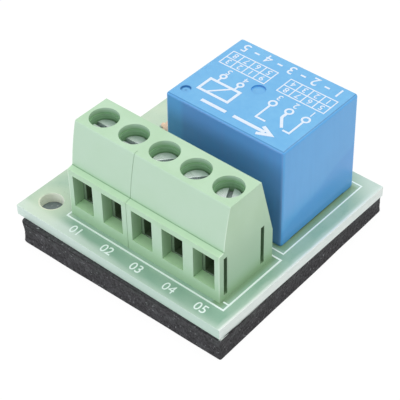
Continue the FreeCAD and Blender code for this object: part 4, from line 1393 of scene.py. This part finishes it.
@dataclass
class Board:
    """The circuit board with its print and its solder."""

    edge_round: float = 0.07
    outline_width: float = 0.25
    step_width: float = 0.2
    relay_line_width: float = 0.2
    part_line_width: float = 0.2
    blocks_x: tuple[float, float] = (6.64, 33.28)
    blocks_y: tuple[float, float] = (2.88, 14.17)
    relay_x: tuple[float, float] = (11.7, 32.83)
    relay_y: tuple[float, float] = (15.23, 32.06)
    figure_height: float = 1.33
    figure_baseline: float = 0.85
    figure_centres: tuple[float, ...] = (9.6, 15.1, 20.2, 25.7, 30.9)
    outline_step: tuple[float, float] = (0.9, 1.1)
    part_margins: tuple[float, float] = (0.2, 0.25)
    lamp_margin: float = 0.3
    collar_radius: float = 0.24
    collar_width: float = 0.45
    collar_height: float = 0.28
    collar_rim: float = 0.015
    collar_sides: int = 24
    lead_holes: tuple[tuple[tuple[float, ...], tuple[float, ...]], ...] = (
        ((5.2, 0.5, -5.0), (34.6, 33.4, 5.0)), ((0.5, 6.0, -5.0), (5.4, 28.0, 5.0)),
    )

    def build(self) -> None:
        """Makes the board, its outlines, figures and solder collars."""
        board = eased_copy(
            "circuit_board", "laminate_board", self.edge_round, BoardLaminate().make(), self.lead_holes,
        )
        settle(board, "module")
        ink = INK_ON_BOARD.make()
        lines = [line.mesh("line", 0.0, i) for i, line in enumerate(self.lines())]
        settle(joined("board_outlines", lines, ink), "module")
        figures = [
            lettering("figure", f"0{i + 1}", self.figure_height, (x, self.figure_baseline, 0), False)
            for i, x in enumerate(self.figure_centres)
        ]
        settle(joined("terminal_figures", figures, ink), "module")
        solder = PlatedMetal("bright_solder", (0.80, 0.81, 0.82), (0.62, 0.63, 0.64), 0.2).make()
        paint(["solder_joints"], solder)
        collars = [self.collar(x, y) for x, y in self.part_leads()]
        settle(joined("solder_collars", collars, solder), "module")

    def lines(self) -> list[PrintedLine]:
        """The white lines: blocks, relay, resistor, diode and lamp."""
        right, front = self.blocks_x[1], self.blocks_y[0]
        length, rise = self.outline_step
        step = [(right - length, front + rise), (right, front + rise)]
        lines = [
            PrintedLine(rectangle(self.blocks_x, self.blocks_y), self.outline_width, True),
            PrintedLine(step, self.step_width),
            PrintedLine(rectangle(self.relay_x, self.relay_y), self.relay_line_width, True),
        ]
        margin = np.array((*self.part_margins, 0.0))
        for node in ("resistor_body", "diode_body"):
            low, high = BOARD.box(node)
            (x0, y0, _), (x1, y1, _) = low - margin, high + margin
            lines.append(PrintedLine(rectangle((x0, x1), (y0, y1)), self.part_line_width, True))
        low, high = BOARD.box("lamp_lens")
        ring = circle((low + high)[:2] / 2, (high - low)[0] / 2 + self.lamp_margin)
        return [*lines, PrintedLine(ring, self.part_line_width, True)]

    @staticmethod
    def part_leads() -> list[tuple[float, float]]:
        """Where the round leads of the resistor and the diode pass through the board."""
        places = []
        for node in ("resistor_leads", "diode_leads"):
            low, high = BOARD.box(node)
            radius, middle = (high[1] - low[1]) / 2, (low[1] + high[1]) / 2
            places += [(low[0] + radius, middle), (high[0] - radius, middle)]
        return places

    def collar(self, x: float, y: float) -> bpy.types.Mesh:
        """A low ring of solder round a lead: its height falls with the square of the way out."""
        out = np.linspace(0, 1, 8)
        radius = self.collar_radius + out * self.collar_width
        height = self.collar_height * (1 - out) ** 2 + self.collar_rim
        profile = np.vstack([
            np.column_stack([radius, height]), [(radius[-1], 0.0), (radius[0], 0.0)],
        ])
        rings = turned(profile, Axis.Z, (x, y, 0), self.collar_sides)
        return sweep("collar", BOARD.metres(rings), Ends.JOINED, 50.0)


@dataclass
class TerminalBlocks:
    """Two green housings with their cages, screws and contacts."""

    poles: int = 5
    edge_round: float = 0.09
    flash_width: float = 0.07
    flash_depth: float = 0.4
    flash_reach: tuple[float, float] = (6.2, 11.25)
    flash_shift: float = 0.03
    flash_below_top: float = 0.004
    mating: tuple[tuple[float, ...], tuple[float, ...]] = ((-0.1, 4.5, 8.2), (0.15, 20.0, 20.0))
    cage_round: float = 0.04
    head_round: float = 0.06
    thread_pitch: float = 0.45
    thread_height: float = 0.035
    thread_range: tuple[float, float] = (0.1, 4.3)
    shank_radius: float = 1.235
    thread_sides: int = 32
    rows_per_turn: int = 10

    def build(self) -> None:
        """Makes the housings and each pole's metal."""
        plastic = BlockPlastic().make()
        joint = BOARD.box("terminal_housing_two_pole")[1][0]
        mating = [tuple(np.array(corner) + (joint, 0, 0) for corner in self.mating)]
        for size in ("two", "three"):
            node = f"terminal_housing_{size}_pole"
            block = eased_copy(node, f"{size}_pole_block", self.edge_round, plastic, mating)
            settle(block, "module")
        self.flash(joint, plastic)
        cage_metal = CageMetal().make()
        contact = PlatedMetal(
            "tinned_contact", (0.74, 0.73, 0.68), (0.55, 0.54, 0.49), 0.3, Axis.Z
        ).make()
        for pole in range(1, self.poles + 1):
            cage = eased_copy(f"clamp_cage_{pole}", f"cage_{pole}_eased", self.cage_round, cage_metal)
            settle(cage, f"cage_{pole}")
            self.screw(pole)
        paint([f"terminal_pin_{pole}" for pole in range(1, self.poles + 1)], contact)

    def flash(self, joint: float, plastic: bpy.types.Material) -> None:
        """Fills the joint between the two housings, just under their tops."""
        _, high = BOARD.box("terminal_housing_three_pole")
        middle, half = joint + self.flash_shift, self.flash_width / 2
        outline = rectangle((middle - half, middle + half), self.flash_reach)
        levels = (high[2] - self.flash_depth, high[2] - self.flash_below_top)
        rings = [[(x, y, z) for x, y in outline] for z in levels]
        mesh = sweep("joint_flash", BOARD.metres(np.array(rings)), Ends.FLAT)
        settle(add_object("joint_flash", mesh, plastic), "module")

    def screw(self, pole: int) -> None:
        """Makes one screw: its head as modelled with eased edges, and a thread on its shank."""
        low, high = BOARD.box(f"clamp_screw_{pole}")
        centre = (low + high) / 2
        metal = TurnedHead(f"zinc_head_{pole}", tuple(BOARD.metres(centre))).make()
        head = eased_copy(f"clamp_screw_{pole}", f"screw_head_{pole}", self.head_round, metal)
        settle(head, f"screw_{pole}")
        mesh = sweep(f"screw_thread_{pole}", BOARD.metres(self.thread(low, centre)), Ends.FLAT, 80.0)
        settle(add_object(f"screw_thread_{pole}", mesh, metal), f"screw_{pole}")

    def thread(self, low: Array, centre: Array) -> Array:
        """Rings of the threaded shank.

        A point at angle a and height z has the shank's radius plus the thread's height
        times a triangle wave of z / pitch - a / full turn.

        Args:
            low: the screw's lowest corner.
            centre: the middle of its box.

        Returns:
            Places in the board's millimetres.
        """
        start, end = self.thread_range
        rows = int(end / self.thread_pitch * self.rows_per_turn)
        z = np.linspace(start, end, rows)[:, None]
        turn = np.linspace(0, 2 * math.pi, self.thread_sides, endpoint=False)[None]
        phase = (z / self.thread_pitch - turn / (2 * math.pi)) % 1
        wave = 1 - np.abs(2 * phase - 1)
        radius = self.shank_radius + self.thread_height * wave
        return np.stack([
            centre[0] + radius * np.cos(turn),
            centre[1] + radius * np.sin(turn),
            np.broadcast_to(low[2] + z, radius.shape),
        ], axis=-1)


@dataclass
class Relay:
    """The cube relay: its case with print on top, and the works inside."""

    edge_round: float = 0.12
    line_width: float = 0.27
    rule_width: float = 0.16
    bold_width: float = 0.5
    medium_width: float = 0.4
    ring_sides: int = 20
    large_figure: float = 1.6
    table_figure: float = 0.95
    pin_figure: float = 1.0
    columns: int = 4
    cell: tuple[float, float] = (1.85, 1.5)
    tables: tuple[tuple[float, float], ...] = ((1.1, 3.2), (10.6, 3.2))
    cell_baseline: float = 0.27
    row: tuple[float, float] = (2.0, 0.9)
    row_step: float = 3.8
    row_count: int = 5
    dash: Span = (3.5, 4.3)
    dash_level: float = 1.7
    pin_baseline: float = 6.7
    contacts: tuple[float, float, float] = (2.0, 4.6, 7.2)
    contact_ring: tuple[float, float] = (8.6, 0.5)
    contact_tips: tuple[float, float] = (3.0, 5.7)
    contact_level: float = 12.0
    lever: tuple[tuple[float, float], ...] = ((4.6, 10.1), (3.4, 11.7))
    coil_ends: tuple[float, float] = (12.7, 15.5)
    coil_ring: tuple[float, float] = (8.3, 0.4)
    coil: tuple[Span, Span] = ((11.7, 16.5), (9.6, 12.1))
    coil_slash: Span = (12.9, 15.3)
    arrow: tuple[tuple[tuple[float, float], ...], ...] = (
        ((9.4, 13.7), (4.4, 13.7)), ((5.2, 14.5), (3.5, 13.7), (5.2, 12.9)), ((10.6, 13.7), (14.6, 13.7)),
    )

    def build(self) -> None:
        """Makes the case, its print and the finishes of the inner parts."""
        case = eased_copy("relay_case", "relay_case_eased", self.edge_round, RelayPlastic().make())
        settle(case, "module")
        ink = INK_ON_RELAY.make()
        corner = BOARD.box("relay_case")[1]
        marks = [line.mesh("mark", corner[2], i) for i, line in enumerate(self.marks(corner))]
        settle(joined("relay_marks", marks, ink), "module")
        figures = [
            lettering("figure", text, size, (*self.page(corner, (u, v)), corner[2]), True)
            for text, size, u, v in self.figures()
        ]
        settle(joined("relay_figures", figures, ink), "module")
        self.dress_works()

    def figures(self) -> list[tuple[str, float, float, float]]:
        """Plain numbers: a large row, the tables' cells and the sketch's pins, with size and place."""
        left, level = self.row
        places = [
            (str(i + 1), self.large_figure, left + self.row_step * i, level)
            for i in range(self.row_count)
        ]
        for pin, across in enumerate((*self.contacts, *self.coil_ends)):
            places.append((str(pin + 1), self.pin_figure, across, self.pin_baseline))
        wide, tall = self.cell
        for start, (left, foot) in enumerate(self.tables):
            for cell in range(2 * self.columns):
                column, line = cell % self.columns, cell // self.columns
                text = str((cell + start * 4) % 9 + 1)
                across, level = left + wide * (column + 0.5), foot + tall * line + self.cell_baseline
                places.append((text, self.table_figure, across, level))
        return places

    @staticmethod
    def page(corner: Array, place: tuple[float, float]) -> tuple[float, float]:
        """A place on the printed page, read from behind the relay, as x and y on the board."""
        return (corner[0] - place[0], corner[1] - place[1])

    def marks(self, corner: Array) -> list[PrintedLine]:
        """Every line on the page, from the row's dashes to the arrow."""
        return [
            PrintedLine([self.page(corner, place) for place in points], width, loop)
            for points, width, loop in (*self.dashes(), *self.rules(), *self.sketch())
        ]

    def dashes(self) -> list[Stroke]:
        """A dash between each two figures of the large row."""
        steps = [self.row_step * i for i in range(self.row_count - 1)]
        left, right = self.dash
        ends = [[(left + step, self.dash_level), (right + step, self.dash_level)] for step in steps]
        return [(points, self.line_width, False) for points in ends]

    def rules(self) -> list[Stroke]:
        """The ruled tables: a frame, a line across its middle and the lines between its columns."""
        strokes: list[Stroke] = []
        wide, tall = self.cell
        for left, foot in self.tables:
            right, top = left + wide * self.columns, foot + 2 * tall
            inner = [[(left, foot + tall), (right, foot + tall)]]
            for column in range(1, self.columns):
                across = left + wide * column
                inner.append([(across, foot), (across, top)])
            strokes.append((rectangle((left, right), (foot, top)), self.rule_width, True))
            strokes += [(points, self.rule_width, False) for points in inner]
        return strokes

    def sketch(self) -> list[Stroke]:
        """A plain sketch of a lever between contacts and of a coil, with an arrow under it."""
        line, medium, bold, sides = self.line_width, self.medium_width, self.bold_width, self.ring_sides
        first, common, last = self.contacts
        (level, radius), (coil_level, coil_radius) = self.contact_ring, self.coil_ring
        top, bottom = level + radius, self.contact_level
        left_tip, right_tip = self.contact_tips
        coil_foot, coil_top = self.coil[1]
        leads = [[(end, coil_level + coil_radius), (end, coil_foot)] for end in self.coil_ends]
        return [
            *((circle((pin, level), radius, sides), line, True) for pin in self.contacts),
            ([(first, top), (first, bottom), (left_tip, bottom)], line, False),
            ([(last, top), (last, bottom), (right_tip, bottom)], line, False),
            ([(common, top), *self.lever], medium, False),
            (rectangle(*self.coil), medium, True),
            ([(self.coil_slash[0], coil_foot), (self.coil_slash[1], coil_top)], line, False),
            *((circle((end, coil_level), coil_radius, sides), line, True) for end in self.coil_ends),
            *((points, line, False) for points in leads),
            *((list(points), bold, False) for points in self.arrow),
        ]

    @staticmethod
    def dress_works() -> None:
        """Gives the parts inside the case their finishes."""
        base = MouldedPlastic("base_dark", (0.035, 0.05, 0.09), (0.025, 0.035, 0.07))
        bobbin = MouldedPlastic("bobbin_cream", (0.80, 0.77, 0.68), (0.72, 0.69, 0.60))
        iron = PlatedMetal("relay_iron", (0.60, 0.60, 0.58), (0.42, 0.42, 0.40), 0.32, Axis.Y)
        bronze = PlatedMetal("leaf_bronze", (0.74, 0.50, 0.27), (0.55, 0.36, 0.18), 0.25, Axis.X)
        tin = PlatedMetal("tinned_pin", (0.76, 0.76, 0.74), (0.60, 0.60, 0.58), 0.26, Axis.Z)
        leaf = ("contact_spring", "return_spring", "normally_open_contact", "normally_closed_contact")
        for finish, nodes in (
            (base, ("relay_base",)),
            (iron, ("relay_yoke", "coil_core", "relay_armature")),
            (bobbin, ("coil_bobbin",)),
            (WoundCopper(), ("coil_winding",)),
            (bronze, leaf),
            (tin, ("coil_pin_front", "coil_pin_back")),
        ):
            paint(nodes, finish.make())


@dataclass
class SmallParts:
    """The resistor, the diode and the lamp beside the relay."""

    sides: int = 40
    waist_share: float = 0.84
    shoulder_from_end: float = 1.35
    shoulder_length: float = 0.5
    nose_length: float = 0.35
    neck_runs: tuple[float, ...] = (0.08, 0.22, 0.5, 0.78)
    neck_radii: tuple[float, ...] = (0.6, 0.43, 0.34, 0.31)
    resistor_bands: tuple[tuple[float, float, Colour], ...] = (
        (-0.25, 0.07, (0.13, 0.04, 0.015)), (-0.12, 0.06, (0.02, 0.02, 0.02)),
        (0.0, 0.06, (0.45, 0.03, 0.02)), (0.24, 0.07, (0.55, 0.38, 0.12)),
    )
    diode_rim: float = 0.22
    diode_bands: tuple[tuple[float, float, Colour], ...] = ((0.33, 0.13, (0.55, 0.56, 0.57)),)
    bend_radius: float = 0.5
    lead_overlap: float = 0.2
    lead_sides: int = 16
    dome_share: float = 0.79
    dome_foot: float = 1.6
    flange_inset: float = 0.12
    flange_levels: tuple[float, ...] = (0.0, 0.1, 0.85, 1.0)

    def build(self) -> None:
        """Makes the three parts and their wires."""
        wire = PlatedMetal("tinned_wire", (0.78, 0.78, 0.79), (0.60, 0.60, 0.61), 0.24, Axis.X).make()
        self.resistor()
        self.diode()
        for name in ("resistor", "diode"):
            self.leads(name, wire)
        self.lamp()
        paint(["lamp_lead_frame"], wire)

    def resistor(self) -> None:
        """A dumbbell body with rings of colour.

        Its radius falls from the caps to the waist by a smooth step over the shoulder's
        length. At each end it is multiplied by the root of one less half the square of
        the way along the nose, and a neck runs out along the lead.
        """
        low, high = BOARD.box("resistor_body")
        centre, length, cap = (low + high) / 2, high[0] - low[0], (high[2] - low[2]) / 2
        waist = cap * self.waist_share
        x = np.linspace(-length / 2, length / 2, 49)
        away = length / 2 - np.abs(x)
        shoulder = np.clip((away - self.shoulder_from_end) / self.shoulder_length, 0, 1)
        radius = cap - (cap - waist) * shoulder**2 * (3 - 2 * shoulder)
        nose = np.clip(1 - away / self.nose_length, 0, 1)
        radius = radius * np.sqrt(np.maximum(1 - nose**2 * 0.5, 0))
        run, neck = np.array(self.neck_runs), np.array(self.neck_radii)
        x = np.concatenate([x[0] - run[::-1], x, x[-1] + run])
        radius = np.concatenate([neck[::-1], radius, neck])
        finish = BandedBody(
            "resistor_lacquer", tuple(BOARD.metres(centre)), length, (0.82, 0.60, 0.42),
            self.resistor_bands,
        )
        rings = turned(np.column_stack([radius, x]), Axis.X, centre, self.sides)
        mesh = sweep("resistor_shell", BOARD.metres(rings), Ends.POLES, 60.0)
        stand_in("resistor_shell", mesh, finish.make(), "resistor_body")

    def diode(self) -> None:
        """A black moulded barrel with rounded rims and one silver ring."""
        low, high = BOARD.box("diode_body")
        centre, length, barrel = (low + high) / 2, high[0] - low[0], (high[2] - low[2]) / 2
        rim = self.diode_rim
        turn = np.linspace(0, math.pi / 2, 7)
        radius = barrel - rim + rim * np.sin(turn)
        left = np.column_stack([radius, -length / 2 + rim * (1 - np.cos(turn))])
        profile = np.vstack([left, left[::-1] * (1, -1)])
        finish = BandedBody(
            "diode_moulding", tuple(BOARD.metres(centre)), length, (0.022, 0.022, 0.024),
            self.diode_bands, 0.3,
        )
        rings = turned(profile, Axis.X, centre, self.sides)
        mesh = sweep("diode_shell", BOARD.metres(rings), Ends.FLAT)
        stand_in("diode_shell", mesh, finish.make(), "diode_body")

    def leads(self, name: str, material: bpy.types.Material) -> None:
        """Two wires bent down from a body's ends: a straight run, a quarter circle and a drop."""
        body_low, body_high = BOARD.box(f"{name}_body")
        low, high = BOARD.box(f"{name}_leads")
        radius = (high[1] - low[1]) / 2
        middle_y, level = (low[1] + high[1]) / 2, high[2] - radius
        turn, bend = np.linspace(0, math.pi / 2, 9), self.bend_radius
        wires = []
        for end, body_end, sign in ((low[0], body_low[0], -1), (high[0], body_high[0], 1)):
            outer = end - sign * radius
            bend_x = outer - sign * bend + sign * bend * np.sin(turn)
            bend_z = level - bend + bend * np.cos(turn)
            x = np.concatenate([[body_end - sign * self.lead_overlap], bend_x, [outer]])
            z = np.concatenate([[level], bend_z, [low[2]]])
            path = np.column_stack([x, np.full(len(x), middle_y), z])
            rings = tube(path, radius, (0, 1, 0), self.lead_sides)
            wires.append(sweep("wire", BOARD.metres(rings), Ends.FLAT, 50.0))
        piece = joined(f"{name}_wires", wires, material)
        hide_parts(f"{name}_leads")
        settle(piece, "module")

    def lamp(self) -> None:
        """A domed lens on a short flange, turned as one profile."""
        low, high = BOARD.box("lamp_lens")
        centre = (low + high) / 2
        flange = (high[0] - low[0]) / 2
        edge, dome = flange - self.flange_inset, flange * self.dome_share
        levels = low[2] + np.array(self.flange_levels)
        turn = np.linspace(0, math.pi / 2, 15)[:-1]
        profile = np.vstack([
            np.column_stack([(edge, flange, flange, edge), levels]),
            [(dome, levels[-1]), (dome, low[2] + self.dome_foot)],
            np.column_stack([dome * np.cos(turn), high[2] - dome + dome * np.sin(turn)]),
        ])
        rings = turned(profile, Axis.Z, (centre[0], centre[1], 0), self.sides)
        mesh = sweep("lamp_dome", BOARD.metres(rings), Ends.POLES, 35.0)
        stand_in("lamp_dome", mesh, LampResin().make(), "lamp_lens")


@dataclass(frozen=True)
class Lamp:
    """A soft rectangular studio lamp that looks at a place."""

    name: str
    place: tuple[float, float, float]
    aim: tuple[float, float, float]
    width: float
    height: float
    power: float
    colour: Colour = (1.0, 1.0, 1.0)

    def build(self) -> None:
        """Adds the lamp."""
        light = bpy.data.lights.new(self.name, "AREA")
        light.shape = "RECTANGLE"
        light.size = self.width
        light.size_y = self.height
        light.energy = self.power
        light.color = self.colour
        made = bpy.data.objects.new(self.name, light)
        bpy.context.scene.collection.objects.link(made)
        back = np.array(self.place) - np.array(self.aim)
        made.location = self.place
        made.rotation_euler = (
            math.acos(back[2] / np.linalg.norm(back)), 0.0, math.atan2(back[0], -back[1]),
        )


@dataclass
class Studio:
    """The floor, the lamps, the world and the camera."""

    image_width: float = 400.0
    sensor: float = 36.0
    focal_pixels: float = 1377.8
    camera_place: tuple[float, float, float] = (90.16, -101.91, 127.25)
    camera_aim: tuple[float, float, float] = (4.16, -4.86, 10.1)
    camera_roll: float = -0.02
    floor_size: float = 1.6
    world_light: float = 0.62
    lamps: tuple[Lamp, ...] = (
        Lamp("roof_softbox", (0.06, 0.08, 0.42), (0.0, 0.0, 0.01), 0.42, 0.42, 1.0, (1.0, 0.985, 0.96)),
        Lamp("front_fill", (-0.12, -0.42, 0.16), (0.0, 0.0, 0.005), 0.36, 0.2, 0.55, (0.86, 0.94, 1.0)),
    )

    def build(self) -> None:
        """Sets up everything round the object."""
        self.floor()
        for lamp in self.lamps:
            lamp.build()
        self.world()
        self.camera()
        bpy.context.scene.view_settings.view_transform = "Standard"

    def floor(self) -> None:
        """Adds the floor, level with the foot of the pad."""
        half = self.floor_size / 2
        mesh = bpy.data.meshes.new("studio_floor")
        corners = [(*corner, 0.0) for corner in rectangle((-half, half), (-half, half))]
        mesh.from_pydata(corners, [], [(0, 1, 2, 3)])
        add_object("studio_floor", mesh, StudioFloor().make())

    def world(self) -> None:
        """A plain sky: dimmer for what it lights than for what mirrors or sees it."""
        world = bpy.data.worlds.new("studio_sky")
        bpy.context.scene.world = world
        world.use_nodes = True
        tree = world.node_tree
        tree.nodes.clear()
        out = tree.nodes.new("ShaderNodeOutputWorld")
        paths = tree.nodes.new("ShaderNodeLightPath")
        seen = tree.nodes.new("ShaderNodeMath")
        seen.operation = "MAXIMUM"
        tree.links.new(paths.outputs["Is Camera Ray"], seen.inputs[0])
        tree.links.new(paths.outputs["Is Glossy Ray"], seen.inputs[1])
        mixed = tree.nodes.new("ShaderNodeMixShader")
        for socket, strength in ((1, self.world_light), (2, 1.0)):
            sky = tree.nodes.new("ShaderNodeBackground")
            sky.inputs["Color"].default_value = (1.0, 1.0, 1.0, 1.0)
            sky.inputs["Strength"].default_value = strength
            tree.links.new(sky.outputs[0], mixed.inputs[socket])
        tree.links.new(seen.outputs[0], mixed.inputs[0])
        tree.links.new(mixed.outputs[0], out.inputs["Surface"])

    def camera(self) -> None:
        """Places the camera: it looks from its place to its aim, rolled a little about that line."""
        place, aim = np.array(self.camera_place), np.array(self.camera_aim)
        ahead = (aim - place) / np.linalg.norm(aim - place)
        right = np.cross(ahead, (0, 0, 1))
        right /= np.linalg.norm(right)
        up = np.cross(right, ahead)
        turn = self.camera_roll
        rolled_right = right * math.cos(turn) + up * math.sin(turn)
        rolled_up = up * math.cos(turn) - right * math.sin(turn)
        data = bpy.data.cameras.new("camera")
        data.sensor_width = self.sensor
        data.lens = self.focal_pixels * self.sensor / self.image_width
        data.clip_start = 0.01
        made = bpy.data.objects.new("camera", data)
        bpy.context.scene.collection.objects.link(made)
        matrix = np.eye(4)
        matrix[:3, :3] = np.column_stack([rolled_right, rolled_up, -ahead])
        matrix[:3, 3] = place * MM
        made.matrix_world = Matrix(matrix.tolist())
        bpy.context.scene.camera = made


def main() -> None:
    """Builds everything in order."""
    logging.basicConfig(level=logging.INFO, format="%(message)s")
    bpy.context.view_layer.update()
    Studio().build()
    for group in (FoamPad(), Board(), TerminalBlocks(), Relay(), SmallParts()):
        group.build()
        LOG.info("%s is done", type(group).__name__)


if __name__ == "__main__":
    main()
